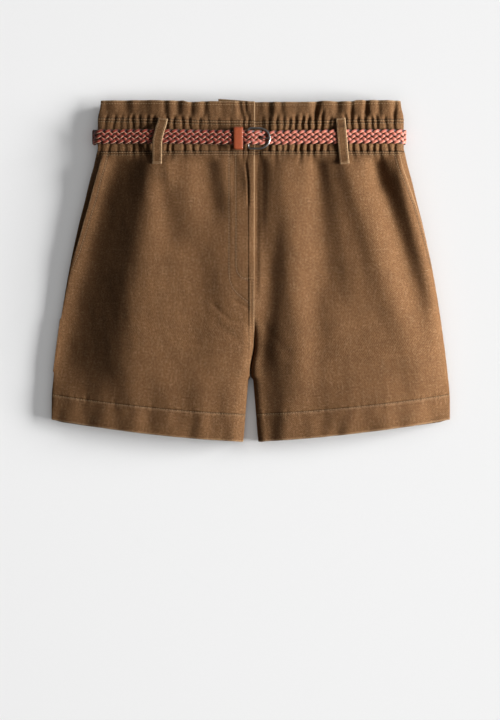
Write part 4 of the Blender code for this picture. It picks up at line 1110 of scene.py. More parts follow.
def twill_finish():
    """Matt brown twill, paler along worn edges and at a painted highlight on the fly's edge,
    darker in painted shade along the stitching, with the nap's faint sheen.
    """
    found = bpy.data.materials.get("brown twill")
    if found:
        return found
    cloth = bpy.context.scene.shorts_cloth
    finish, tree, shader = new_finish("brown twill")
    weave = wire(tree, "ShaderNodeGroup", {}, node_tree=twill_group())
    # seam: painted shade along the stitching; wear: worn edges and a painted highlight at the fly's edge
    sockets = {
        "Cloth": wire(tree, "ShaderNodeUVMap", uv_map="cloth").outputs[0], "Wear": mask_value(tree, "wear"),
        "Seam": mask_value(tree, "seam"),
    }
    for name, output in sockets.items():
        tree.links.new(output, weave.inputs[name])
    weave.inputs["Wale"].default_value = cloth.wale
    weave.inputs["Colour"].default_value = rgba(cloth.colour)
    weave.inputs["Pale"].default_value = rgba(cloth.heather)
    tree.links.new(weave.outputs["Colour"], shader.inputs["Base Color"])
    tree.links.new(weave.outputs["Roughness"], shader.inputs["Roughness"])
    shader.inputs["Specular IOR Level"].default_value = 0.22
    shader.inputs["Sheen Weight"].default_value = 0.08
    shader.inputs["Sheen Roughness"].default_value = 0.45
    shader.inputs["Sheen Tint"].default_value = rgba(cloth.heather)
    bumped(tree, shader, weave.outputs["Height"], 0.00030, 0.55)
    return finish


def thread_finish():
    """Twisted cotton thread: its twist is a sine along the stitch's own coordinates."""
    found = bpy.data.materials.get("brown thread")
    if found:
        return found
    finish, tree, shader = new_finish("brown thread")
    colour = bpy.context.scene.shorts_cloth.thread
    uv = wire(tree, "ShaderNodeUVMap", uv_map="cloth").outputs[0]
    split = wire(tree, "ShaderNodeSeparateXYZ", {0: uv}).outputs
    turn = plus(tree, times(tree, split[1], 9500.0), times(tree, split[0], FULL_TURN))
    twist = plus(tree, times(tree, maths(tree, "SINE", turn), 0.5), 0.5)
    tree.links.new(blend(tree, twist, rgba(colour, 0.72), rgba(colour, 1.2)), shader.inputs["Base Color"])
    shader.inputs["Roughness"].default_value = 0.8
    shader.inputs["Specular IOR Level"].default_value = 0.2
    bumped(tree, shader, twist, 0.0001, 0.5)
    return finish


def braid_finish():
    """Dyed strands with pale cut edges: the edge mask picks the undyed colour, broken by
    the grain. The strands grow paler along the belt towards the right, shifted from strand
    to strand: partly faded dye, partly painted light from the key light on the right. Painted
    shade darkens them almost to black where they pass under one another."""
    found = bpy.data.materials.get("braided leather")
    if found:
        return found
    belt = bpy.context.scene.shorts_belt
    finish, tree, shader = new_finish("braided leather")
    place = wire(tree, "ShaderNodeTexCoord").outputs["Object"]
    grain = wire(tree, "ShaderNodeGroup", {"Place": place, "Scale": 1.0}, node_tree=grain_group())
    cut = mask_value(tree, "cut")
    tone = mask_value(tree, "tone")
    dye_and_painted_light = blend(tree, grain.outputs["Mottle"], rgba(belt.face, 0.72), rgba(belt.face, 1.12))
    faded_and_lit = blend(tree, grain.outputs["Mottle"], (0.46, 0.110, 0.070, 1.0), (0.70, 0.230, 0.155, 1.0))
    # paler towards the right: partly faded dye, partly painted light
    dye_and_painted_light = blend(tree, tone, dye_and_painted_light, faded_and_lit)
    # painted shade: where a strand passes under another it is darkened almost to black, and its cut edge
    # hidden
    deep = mask_value(tree, "deep")
    dye_and_painted_light = blend(tree, deep, dye_and_painted_light, rgba(belt.face, 0.06))
    edge = times(tree, cut, between(tree, grain.outputs["Height"], 0.2, 0.9, 0.82, 1.0), clamp=True)
    edge = times(tree, edge, between(tree, deep, 0.0, 0.6, 1.0, 0.10))
    # the cut edges show less where the strands are painted lit
    edge = times(tree, edge, between(tree, tone, 0.0, 0.8, 1.0, 0.55))
    tree.links.new(blend(tree, edge, dye_and_painted_light, rgba(belt.cut)), shader.inputs["Base Color"])
    tree.links.new(plus(tree, grain.outputs["Roughness"], times(tree, cut, 0.25)), shader.inputs["Roughness"])
    shader.inputs["Specular IOR Level"].default_value = 0.42
    bumped(tree, shader, grain.outputs["Height"], 0.00016, 0.45)
    return finish


def leather_finish():
    """Smooth satin leather with a dark burnished edge where the wear mask says so."""
    found = bpy.data.materials.get("smooth leather")
    if found:
        return found
    belt = bpy.context.scene.shorts_belt
    finish, tree, shader = new_finish("smooth leather")
    place = wire(tree, "ShaderNodeTexCoord").outputs["Object"]
    grain = wire(tree, "ShaderNodeGroup", {"Place": place, "Scale": 1.6}, node_tree=grain_group())
    wear = mask_value(tree, "wear")
    face = blend(tree, grain.outputs["Mottle"], rgba(belt.leather, 0.86), rgba(belt.leather, 1.10))
    tree.links.new(blend(tree, wear, face, rgba(belt.leather, 0.45)), shader.inputs["Base Color"])
    tree.links.new(grain.outputs["Roughness"], shader.inputs["Roughness"])
    shader.inputs["Specular IOR Level"].default_value = 0.45
    shader.inputs["Coat Weight"].default_value = 0.12
    bumped(tree, shader, grain.outputs["Height"], 0.00012, 0.30)
    return finish


def metal_finish():
    """Polished nickel with fine rubbed scratches, from Object coordinates."""
    found = bpy.data.materials.get("polished nickel")
    if found:
        return found
    finish, tree, shader = new_finish("polished nickel")
    place = wire(tree, "ShaderNodeTexCoord").outputs["Object"]
    stretched = wire(tree, "ShaderNodeMapping", {0: place, 3: (900.0, 2600.0, 900.0)}).outputs[0]
    rubbed = wire(tree, "ShaderNodeTexNoise", {"Vector": stretched, "Scale": 1.0, "Detail": 3.0}).outputs[0]
    shader.inputs["Base Color"].default_value = rgba(bpy.context.scene.shorts_belt.metal)
    shader.inputs["Metallic"].default_value = 1.0
    tree.links.new(between(tree, rubbed, 0.3, 0.7, 0.26, 0.42), shader.inputs["Roughness"])
    bumped(tree, shader, rubbed, 0.00002, 0.25)
    return finish


# ---------------------------------------------------------------- grids

def spread(start, end, spacing, dense=(), fine=0.5, reach=4.0):
    """Parameter values from start to end, spacing apart, and as little as fine near the
    dense places: equal steps of the integral of one over the local spacing."""
    t = np.linspace(start, end, 4000)
    local = np.full(t.shape, float(spacing))
    for place in dense:
        local = np.minimum(local, fine + (spacing - fine) * ease(np.abs(t - place), 0.0, reach))
    walk = np.concatenate([[0.0], np.cumsum((1 / local[1:] + 1 / local[:-1]) / 2 * np.diff(t))])
    count = int(round(walk[-1])) + 1
    return np.interp(np.linspace(0, walk[-1], count), walk, t)


def even_wall(c, r):
    return WALL + 0 * c


# ---------------------------------------------------------------- operators: cloth

HANDS = ((-1, "right"), (1, "left"))
BAND_REACH = {-1: 175.0, 1: 210.0}  # about the width of each half of the front waistband


def front_wear_and_highlight(c, row, hand):
    """Wear along a front's hem and its pocket's edge and, on the right front, wear with a painted highlight
    along the fly's edge, which faces the key light.
    """
    down = panel_down(c, row)
    open_side = 1 - ease(down, POCKET_FOOT - 20, POCKET_FOOT)
    edge = bell(row - LENGTH, 1.2) + bell(c, 0.07) * open_side
    if hand < 0:
        # painted highlight with wear: the fly's edge is paler where it faces the key light
        fly = bell((c - 3) * INNER_ROUND[hand], 0.8) * (1.3 - 0.7 * ease(down, 62, 210))
        edge = edge + fly * (1 - ease(down, 280, 300))
    return edge * 0.8 + 0.25 * bell(row - HEM_LINE - 1.4, 1.2)


def front_groove_shade(c, row, hand):
    """Painted shade on a front: dark lines beside the rows of stitching, where the cloth is creased."""
    x, down = front_panel(c, row, hand)[..., 0], panel_down(c, row)
    inset = ring(down, "half_width") - hand * x
    mask = bell(row - HEM_LINE + 0.3, 0.8) + bell(down - WAIST_SEAM, 1.0)
    mask = mask + bell(down - WAIST_SEAM - ROW_STEP, 0.8)
    pocket = bell(off_line(inset, down, POCKET_STITCH[hand]) - 0.2, 0.8)
    mask = mask + 0.8 * pocket * (1 - ease(down, 190, 200))
    if hand < 0:
        for line in (FLY_OUTER, FLY_INNER):
            mask = mask + 0.8 * bell(off_line(x, down, line) - 0.2, 0.8)
    return mask


def band_wear_and_highlight(c, row, hand=0):
    """Wear along the frill's top and, on the right half, wear with a painted highlight along its end at the
    fly, which faces the key light.
    """
    top = 0.75 * bell(row, 1.1)
    return top + 1.1 * bell((c - 2) * BAND_REACH[hand], 0.6) if hand < 0 else top


def no_wear(c, row):
    return 0 * c


class ShortsFronts(bpy.types.Operator):
    """Make the two fronts with their folds, hems and fly."""
    bl_idname = "shorts.fronts"
    bl_label = "Fronts"

    def execute(self, context):
        columns = np.concatenate([
            spread(0, 1, 0.055)[:-1], spread(1, 2, 0.0088)[:-1],
            spread(2, 3, 0.040, dense=(3.0, 2.78), fine=0.022, reach=0.35)])
        rows = spread(PANEL_TOP, LENGTH, 1.75, dense=(PANEL_TOP, HEM_LINE, LENGTH), fine=0.75, reach=14.0)
        for hand, side in HANDS:
            shape = partial(front_panel, hand=hand)
            # the seam mask is painted shade along the stitching; the wear mask is wear, with a painted
            # highlight along the right front's fly edge
            obj = wall_piece(
                "front_%s_panel" % side, shape, columns, rows, panel_wall, hand, lips=(0.45, 0.3, 0.1, 0.7),
                masks={"wear": partial(front_wear_and_highlight, hand=hand), "seam": partial(front_groove_shade, hand=hand)})
        return {"FINISHED"}


class ShortsBacks(bpy.types.Operator):
    """Make the two backs, which lie on the surface."""
    bl_idname = "shorts.backs"
    bl_label = "Backs"

    def execute(self, context):
        columns = np.concatenate([spread(0, 1, 0.09)[:-1], spread(1, 2, 0.0155)[:-1], spread(2, 3, 0.1)])
        rows = spread(PANEL_TOP, LENGTH, 2.8, dense=(PANEL_TOP, HEM_LINE, LENGTH), fine=0.8, reach=12.0)
        for hand, side in HANDS:
            shape = partial(back_panel, hand=hand)
            obj = wall_piece(
                "back_%s_panel" % side, shape, columns, rows, panel_wall, -hand,
                lips=(0.1, 0.1, 0.1, 0.7), masks={"wear": lambda c, r: 0.8 * bell(r - LENGTH, 1.2)})
        return {"FINISHED"}


class ShortsPockets(bpy.types.Operator):
    """Make the facings that show inside the pockets' openings."""
    bl_idname = "shorts.pockets"
    bl_label = "Pocket facings"

    def execute(self, context):
        columns = np.linspace(0.0, 1.0, 26)
        rows = spread(PANEL_TOP, POCKET_FOOT - 8, 1.8)
        for hand, side in HANDS:
            shape = partial(pocket_facing, hand=hand)
            obj = wall_piece(
                "pocket_facing_" + side, shape, columns, rows, even_wall, hand,
                masks={"wear": no_wear}, origin=0)
        return {"FINISHED"}


class ShortsWaistband(bpy.types.Operator):
    """Make the elastic waistband with its gathers and the frill above it."""
    bl_idname = "shorts.waistband"
    bl_label = "Waistband"

    def execute(self, context):
        dense = (0.0, FRILL_STITCH, *CASING_ROWS, WAIST_SEAM)
        for hand, side in HANDS:
            columns = np.concatenate([spread(0, 1, 0.07)[:-1], spread(1, 2, 0.56 / BAND_REACH[hand])])
            rows = spread(0.0, WAIST_SEAM, 1.3, dense=dense, fine=0.5, reach=5.0)
            shape = partial(band_front, hand=hand)
            # the seam mask is painted shade along the rows of stitching; the wear mask is wear, with a
            # painted highlight along the right half's end at the fly
            obj = wall_piece(
                "waistband_front_" + side, shape, columns, rows, even_wall, hand, lips=(0.1, 0.4, 0.6, 0.1),
                masks={"wear": partial(band_wear_and_highlight, hand=hand),
                       "seam": lambda c, r: row_groove_shade(shape(c, r)[..., 0], r)})
        half = np.concatenate([spread(0, 1, 0.72 / BAND_REACH[-1])[:-1], spread(1, 2, 0.09)])
        columns = np.concatenate([-half[::-1], half[1:]])
        rows = spread(0.0, WAIST_SEAM, 1.5, dense=(0.0, *CASING_ROWS, WAIST_SEAM), fine=0.6, reach=5.0)
        # the seam mask is painted shade along the rows of stitching
        obj = wall_piece(
            "waistband_back", band_back, columns, rows, even_wall, 1.0, lips=(0.1, 0.1, 0.6, 0.1),
            masks={"wear": band_wear_and_highlight, "seam": lambda c, r: row_groove_shade(band_back(c, r)[..., 0], r)},
            origin=len(columns) // 2)
        return {"FINISHED"}


def loop_base(x, down, on_front):
    """Height of the cloth's crests under a loop."""
    if not on_front:
        return ring(down, "bottom")
    band = ring(down, "top") * crown(x, down) - np.where(x < 0, sink(x), 0.0)
    panel = front_height(x, down) - np.where(x < 0, settle(x, down, -1), settle(x, down, 1))
    return np.where(down <= WAIST_SEAM, band, np.maximum(panel, band - 3.0))


def loop_frame(x_top, x_foot, foot, layers, on_front, count=120):
    """A loop's middle line, its up directions and its sideways directions."""
    over = BELT_GAP + layers * BELT_THICK + (layers - 1) * GAP + GAP
    edge = BELT_WIDTH / 2
    sewn = GAP * 2 if on_front else GAP
    route = np.array((
        (LOOP_TOP, sewn), (LOOP_TOP + 4.0, sewn), (BELT_DOWN - edge - 2.2, over * 0.62),
        (BELT_DOWN - edge - 0.2, over), (BELT_DOWN, over), (BELT_DOWN + edge + 0.6, over),
        (BELT_DOWN + edge + 4.0, over * 0.75), (foot - 3.5, sewn), (foot, sewn),
    ))
    down = np.linspace(LOOP_TOP, foot, count)
    share = (down - LOOP_TOP) / (foot - LOOP_TOP)
    x = x_top + (x_foot - x_top) * np.where(x_top < 0, ease(share, -0.1, 0.6), share)
    up = 1.0 if on_front else -1.0
    z = loop_base(x, down, on_front) + up * smooth(down, route[:, 0], route[:, 1])
    path = np.stack([x, CENTRE - down, z], -1)
    ahead = unit(np.gradient(path, axis=0))
    aside = unit(np.cross(ahead, np.array([0.0, 0.0, up])))
    return path, unit(np.cross(aside, ahead)), aside


class ShortsLoops(bpy.types.Operator):
    """Make the belt loops, folded strips with two rows of stitching."""
    bl_idname = "shorts.loops"
    bl_label = "Belt loops"

    def execute(self, context):
        half = LOOP_WIDTH / 2
        s = np.linspace(-1, 1, 19)
        rise = WALL / 2 * np.clip(1 - np.abs(s) ** 9, 0, 1) ** 0.5 + 0.12 * (bell(np.abs(s) - 0.86, 0.1))
        rise = rise - 0.22 * bell(np.abs(s) - 0.62, 0.05)
        upper = np.stack([s * half, WALL / 2 + rise], -1)
        lower = np.stack([s[1:-1][::-1] * half, WALL / 2 - np.maximum(rise[1:-1][::-1], 0.1)], -1)
        profile = np.concatenate([upper, lower])
        wear = np.concatenate([bell(np.abs(s) - 0.97, 0.15), bell(np.abs(s[1:-1]) - 1, 0.05)])
        for name, x_top, x_foot, foot, layers, on_front in LOOPS:
            path, up, aside = loop_frame(x_top, x_foot, foot, layers, on_front)
            ends = np.minimum(np.arange(len(path)), np.arange(len(path))[::-1])
            ends_wear = 0.8 * bell(ends, 2.0)
            obj = tube("shorts_" + name, path, aside, up, profile, False, twill_finish(), (name,),
                       masks={"wear": np.clip(wear[None, :] * 1.6 + ends_wear[:, None], 0, 1.6)})
        return {"FINISHED"}


# ---------------------------------------------------------------- operator: stitching

# share of a stitch's length, and of its thickness there
STITCH_PROFILE = np.array(((0.0, 0.35), (0.12, 0.85), (0.5, 1.0), (0.88, 0.85), (1.0, 0.35)))
STITCH_SIDES = 6
STITCH_FLAT = 0.8  # its height as a share of its width
STITCH_ARCH = 0.16
STITCH_DIP = 0.22  # how far its ends dip into the cloth
THREAD = 0.31  # radius, and that of the waist's heavier thread
WAIST_THREAD = 0.38
TACK_SHARE = 0.95  # share of its pitch that a tack's stitch is long
WAIST_ROW_X = {-1: (-176.0, 3.0), 1: (8.0, 176.0)}
BAND_ROW_END = {-1: 1.995, 1: 1.80}  # column at which the casing's rows end
LOOP_ROW = 0.62  # the rows along a loop, as a share of its half width
LOOP_TACK = 4.3  # half length of the tacks across its ends


def stitch_row(points, out, pitch, radius=THREAD, share=0.76, lift=0.10):
    """Stitches along a line: each is a six-sided capsule, arched a little, laid from hole
    to hole. Returns their points, faces and coordinates."""
    walk = walked(points)
    count = max(int(walk[-1] / pitch), 1)
    starts = (np.arange(count) + 0.12) * walk[-1] / count
    along = STITCH_PROFILE[:, 0] * share * pitch
    at = starts[:, None] + along[None, :]

    def sampled(values):
        return np.stack([np.interp(at, walk, values[:, k]) for k in range(3)], -1)

    place, up = sampled(points), unit(sampled(out))
    ahead = unit(np.gradient(place, axis=1))
    aside = unit(np.cross(ahead, up))
    ends = np.abs(STITCH_PROFILE[:, 0] - 0.5) > 0.45
    arch = np.sin(STITCH_PROFILE[:, 0] * np.pi) * STITCH_ARCH + lift - STITCH_DIP * ends
    place = place + up * arch[None, :, None]
    turn = turn_steps(STITCH_SIDES)
    across_turn = (np.cos(turn) * radius)[None, None, :, None]
    up_turn = (np.sin(turn) * radius)[None, None, :, None]
    size = STITCH_PROFILE[:, 1][None, :, None, None]
    verts = place[:, :, None] + size * (
        aside[:, :, None] * across_turn + up[:, :, None] * up_turn * STITCH_FLAT)
    rings = len(STITCH_PROFILE)
    index = np.arange(rings * STITCH_SIDES).reshape(rings, STITCH_SIDES)
    turned = np.roll(index, -1, axis=1)
    quads = np.stack([index[:-1], index[1:], turned[1:], turned[:-1]], -1).reshape(-1, 4)
    caps = np.array(((0, 1, 2, 3), (0, 3, 4, 5)))
    quads = np.concatenate([quads, caps, caps[:, ::-1] + (rings - 1) * STITCH_SIDES])
    first = np.arange(count) * rings * STITCH_SIDES
    quads = (quads[None] + first[:, None, None]).reshape(-1, 4)
    uv = np.stack(np.broadcast_arrays(turn[None, None, :] / (2 * np.pi), at[:, :, None] * MM), -1)
    return verts.reshape(-1, 3), quads, uv.reshape(-1, 2)


def on_shape(shape, c, r, side):
    c, r = np.broadcast_arrays(np.asarray(c, float), np.asarray(r, float))
    return shape(c, r), side * normals(shape, c, r)


def line_on_front(x, down, hand):
    """Points and outward directions of a line on a front, given as x and down."""
    c, row = front_place(x, down, hand)
    return on_shape(partial(front_panel, hand=hand), c, row, hand)


def line_by_edge(line, hand):
    """The same for a line given as distance in from the silhouette and down."""
    return line_on_front(hand * (ring(line[:, 1], "half_width") - line[:, 0]), line[:, 1], hand)


def resampled(line, spacing=1.0):
    """The line's points, spacing apart along it."""
    line = np.asarray(line, float)
    walk = walked(line)
    at = np.linspace(0, walk[-1], max(int(walk[-1] / spacing), 2))
    return np.stack([np.interp(at, walk, line[:, k]) for k in range(line.shape[1])], -1)


def joined(name, parts):
    """One piece of thread from several sets of points, faces and coordinates."""
    offset, points, quads, uvs = 0, [], [], []
    for p, q, uv in parts:
        points.append(p)
        quads.append(q + offset)
        uvs.append(uv)
        offset += len(p)
    points, quads, uvs = np.concatenate(points), np.concatenate(quads), np.concatenate(uvs)
    return piece(name, points, outward(points, quads), thread_finish(), (), uvs)


class ShortsStitching(bpy.types.Operator):
    """Sew every row of topstitching, stitch by stitch."""
    bl_idname = "shorts.stitching"
    bl_label = "Stitching"

    def execute(self, context):
        pitch = context.scene.shorts_cloth.stitch / MM
        front, waist, under, loops = [], [], [], []
        across_c = np.linspace(0.02, 2.985, 900)
        for hand, _ in HANDS:
            shape = partial(front_panel, hand=hand)
            front.append(stitch_row(*on_shape(shape, across_c, HEM_LINE, hand), pitch))
            front.append(stitch_row(*line_by_edge(resampled(POCKET_STITCH[hand]), hand), pitch))
            tack = line_by_edge(resampled(POCKET_TACK), hand)
            front.append(stitch_row(*tack, 1.0, radius=0.35, share=TACK_SHARE))
        for line in FLY_ROWS:
            path = resampled(line)
            front.append(stitch_row(*line_on_front(path[:, 0], path[:, 1], -1), pitch))
        tack = resampled(FLY_TACK, 0.5)
        tack = line_on_front(tack[:, 0], tack[:, 1], -1)
        front.append(stitch_row(*tack, 0.9, radius=0.4, share=TACK_SHARE))
        for hand, _ in HANDS:
            band = partial(band_front, hand=hand)
            columns = np.linspace(0.03, BAND_ROW_END[hand], 2600)
            top = casing_top(band(columns, CASING_DOWN + 0 * columns)[..., 0])
            for row in (FRILL_STITCH + 0 * top, top + 0.7, top + ROW_STEP + 0.7):
                waist.append(stitch_row(*on_shape(band, columns, row, hand), pitch, radius=WAIST_THREAD))
            x = np.linspace(*WAIST_ROW_X[hand], 1400)
            for row in (WAIST_SEAM + 1.1, WAIST_SEAM + ROW_STEP + 0.7):
                waist.append(stitch_row(*line_on_front(x, row + 0 * x, hand), pitch, radius=WAIST_THREAD))
        columns = np.linspace(-1.97, 1.97, 4200)
        top = casing_top(band_back(columns, CASING_DOWN + 0 * columns)[..., 0])
        for row in (FRILL_STITCH + 0 * top, top, top + ROW_STEP, WAIST_SEAM - 2.0 + 0 * top):
            waist.append(stitch_row(*on_shape(band_back, columns, row, 1.0), pitch))
        for hand, _ in HANDS:
            hem = on_shape(partial(back_panel, hand=hand), across_c, HEM_LINE, -hand)
            under.append(stitch_row(*hem, pitch, lift=-0.35))
        for _, x_top, x_foot, foot, layers, on_front in LOOPS:
            path, up, aside = loop_frame(x_top, x_foot, foot, layers, on_front, 200)
            for share in (-LOOP_ROW, LOOP_ROW):
                line = path + aside * (share * LOOP_WIDTH / 2) + up * (WALL - 0.14)
                loops.append(stitch_row(line, up, pitch))
            for k in (6, -7):
                reach = np.linspace(-LOOP_TACK, LOOP_TACK, 20)[:, None]
                line = path[k] + aside[k] * reach + up[k] * (WALL + 0.02)
                out = np.broadcast_to(up[k], line.shape)
                loops.append(stitch_row(line, out, 0.9, radius=0.36, share=TACK_SHARE))
        for name, parts in (("front_stitching", front), ("waist_stitching", waist), ("back_stitching", under),
                            ("loop_stitching", loops)):
            joined(name, parts)
        return {"FINISHED"}


# ---------------------------------------------------------------- belt

class BeltWay:
    """Places on the belt's ring by the distance walked from the centre front, leftwards
    in the picture, round the back and up the other side."""

    def __init__(self):
        down, turn = BELT_DOWN, np.linspace(0, 1, 41)[1:]
        width, seam = ring(down, "half_width"), ring(down, "seam")
        front_turn, back_turn = ring(down, "front_round"), ring(down, "back_round")
        top, bottom = ring(down, "top"), ring(down, "bottom")
        flat_x = np.linspace(0, width - front_turn, 60)
        side_x = width - front_turn * (1 - np.cos((1 - turn) * np.pi / 2))
        front_x = np.concatenate([flat_x, side_x])
        rise = np.concatenate([np.ones(60), np.sin((1 - turn) * np.pi / 2)])
        front_z = seam + (top * crown(front_x, down) - seam) * rise
        under_x = width - back_turn * (1 - np.cos(turn * np.pi / 2))
        under_z = seam - (seam - bottom) * np.sin(turn * np.pi / 2)
        back_x = np.linspace(width - back_turn, 0, 40)[1:]
        half_x = np.concatenate([front_x, under_x, back_x])
        half_z = np.concatenate([front_z, under_z, np.full(39, bottom)])
        sunk_z = np.concatenate([front_z - sink(-front_x) * rise, under_z, np.full(39, bottom)])
        x = np.concatenate([-half_x, half_x[::-1][1:]])
        self.ring = np.stack([x, np.concatenate([sunk_z, half_z[::-1][1:]])], -1)
        self.front_count, self.straight_count = len(front_x), 60
        self.walk = walked(self.ring)
        self.length = self.walk[-1]

    def place(self, walk):
        walk = np.mod(walk, self.length)
        return np.stack([np.interp(walk, self.walk, self.ring[:, k]) for k in range(2)], -1)

    def at(self, walk, rise):
        """Point (x, z) that lies rise outside the ring, and the outward normal."""
        ahead = unit(self.place(walk + 1.5) - self.place(walk - 1.5))
        normal = np.stack([ahead[..., 1], -ahead[..., 0]], -1)
        return self.place(walk) + normal * np.asarray(rise)[..., None], normal

    def to_front(self, x):
        if x <= 0:
            front = slice(0, self.front_count)
            return float(np.interp(-x, -self.ring[front, 0], self.walk[front]))
        return self.length - self.to_front(-x)

    def rise(self, walk):
        """Height of the strap's middle above the waistband along its whole way."""
        table = [(self.to_front(x), rise) for x, rise in UNDER_RISE]
        table += [(self.to_front(x) + (0.0 if x > 0 else self.length), rise) for x, rise in OVER_RISE]
        table = np.array(table)
        return smooth(walk, table[:, 0], table[:, 1])

    def tail(self):
        """Walk past the centre front at which the strap's free end stops."""
        straight = self.walk[self.straight_count]
        half_turn = self.walk[np.argmin(self.ring[:, 0])] - straight
        return straight + half_turn * (1 + TAIL_END_TURN) - TIP_LENGTH

    def frame(self, walk, aside, rise):
        """Points of the strap's surface space: walk along it, aside towards the waist's
        top, rise from the ring, with the outward directions."""
        (x, z), normal = np.moveaxis(self.at(walk, rise)[0], -1, 0), self.at(walk, rise)[1]
        sag = BELT_SAG * bell(x, BELT_SAG_REACH) * ease(z, 10.0, 16.0)
        y = CENTRE - BELT_DOWN - sag + aside
        out = np.stack([normal[..., 0], np.zeros_like(x), normal[..., 1]], -1)
        return np.stack([x, y, z], -1), out


def strand_swing(phase):
    """Sideways place from -1 to 1 over one swing: a triangle wave with rounded turns."""
    p = np.mod(phase, 1.0)
    tri = 1 - 4 * np.abs(p - 0.5)
    return np.sin(np.clip(tri, -1, 1) * np.pi / 2 * 0.8) / np.sin(np.pi / 2 * 0.8)


def strand_lift(phase):
    """1 where a strand passes over and -1 where it passes under, at the ten crossings of
    one swing, with cosines between them."""
    knots = np.array((-1, 1, 2, 3, 4, 5, 7, 8, 9, 10, 11, 13)) / 12
    level = np.array((-1.0, 1.0, -1.0, 1.0, -1.0, 1.0, -1.0, 1.0, -1.0, 1.0, -1.0, 1.0))
    p = np.mod(phase, 1.0)
    i = np.clip(np.searchsorted(knots, p, side="right") - 1, 0, len(knots) - 2)
    t = (p - knots[i]) / (knots[i + 1] - knots[i])
    return level[i] + (level[i + 1] - level[i]) * (1 - np.cos(t * np.pi)) / 2


class ShortsBraid(bpy.types.Operator):
    """Braid the belt from six flat strands, and put the plain tip on its free end."""
    bl_idname = "shorts.braid"
    bl_label = "Braided belt"

    def execute(self, context):
        belt = context.scene.shorts_belt
        way = BeltWay()
        start, end = way.to_front(TAB_END) + 0.4, way.length + way.tail()
        width, thick, swing = belt.strand_width / MM, belt.strand_thickness / MM, belt.braid_length / MM
        walk = np.arange(start, end, STRAND_STEP)
        hole = way.to_front(PRONG_HOLE_X)
        off = walk - hole
        section = STRAND_SECTION[:, :2] * (width / 2, thick)
        count, size = len(walk), len(section)
        verts, quads, uvs = [], [], []
        masks = {"cut": [], "tone": [], "deep": []}
        for k in range(STRANDS):
            phase = (way.to_front(STRAND_START) - way.length - walk) / swing + (k + 0.5) / STRANDS
            aside = STRAND_TURN * strand_swing(phase)
            lift = strand_lift(phase)
            far = np.hypot(off, aside)
            push = np.sqrt(far ** 2 + PRONG_PUSH ** 2 * bell(far, PRONG_PUSH_REACH)) / np.maximum(far, 0.3)
            pushed = hole + off * push
            middle = way.rise(pushed) - BELT_THICK / 2 + thick / 2 + (1 + lift) / 2 * (BELT_THICK - thick)
            path, out = way.frame(pushed, aside * push, middle)
            ahead = unit(np.gradient(path, axis=0))
            out = unit(out - ahead * np.einsum("ij,ij->i", out, ahead)[:, None])
            side = np.cross(ahead, out)
            # share of the paler colour, rising towards the right and on the front: partly faded dye, partly
            # painted light from the key light on the right
            faded_and_lit = ease(path[:, 0] + 10 * np.sin(k * 2.1), -30.0, 60.0) * ease(path[:, 2], 6.0, 12.0) * 0.8
            points = path[:, None] + side[:, None] * section[:, :1] + out[:, None] * section[:, 1:]
            points = points.reshape(-1, 3)
            quads.append(outward(points, tube_faces(count, size, False)) + k * count * size)
            verts.append(points)
            uv = np.stack(np.broadcast_arrays(section[None, :, 0] * MM, walk[:, None] * MM), -1)
            uvs.append(uv.reshape(-1, 2))
            # painted shade mask: 1 where the strand passes under another
            deep = ease(-lift, -0.8, 0.3)
            grids = {"cut": STRAND_SECTION[:, 2], "tone": faded_and_lit[:, None], "deep": deep[:, None]}
            for mask, grid in grids.items():
                masks[mask].append(np.broadcast_to(grid, (count, size)).ravel())
        masks = {mask: np.concatenate(grids) for mask, grids in masks.items()}
        piece("shorts_braid", np.concatenate(verts), np.concatenate(quads), braid_finish(),
              ("belt_strap",), np.concatenate(uvs), masks)
        self.tip(way, end + GAP)
        return {"FINISHED"}

    def tip(self, way, start):
        """The plain sleeve on the free end, which narrows towards its own end."""
        share = np.linspace(0, 1, 40)
        path, out = way.frame(start + share * TIP_LENGTH, 0 * share, STRAP_HIGH + 0 * share)
        side = np.cross(unit(np.gradient(path, axis=0)), out)
        half = BELT_WIDTH / 2 * (1 - 0.42 * ease(share, 0.35, 1.0) ** 1.6)
        loop_s, loop_up = strap_section(17, 8, BELT_THICK)
        shape = np.stack(np.broadcast_arrays(loop_s[None, :] * half[:, None], loop_up[None, :]), -1)
        worn = np.broadcast_to(bell(np.abs(loop_s) - 1, 0.07)[None, :], shape.shape[:2])
        worn = np.clip(worn + bell(share - 1, 0.05)[:, None] + bell(share, 0.05)[:, None], 0, 1)
        tube("shorts_belt_tip", path, side, out, shape, False, leather_finish(),
             ("belt_tip",), masks={"wear": worn})


# ---------------------------------------------------------------- buckle

def arc(centre, radius, start, end, count):
    angle = np.radians(np.linspace(start, end, count))
    return np.stack([centre[0] + radius * np.cos(angle), centre[1] + radius * np.sin(angle)], -1)


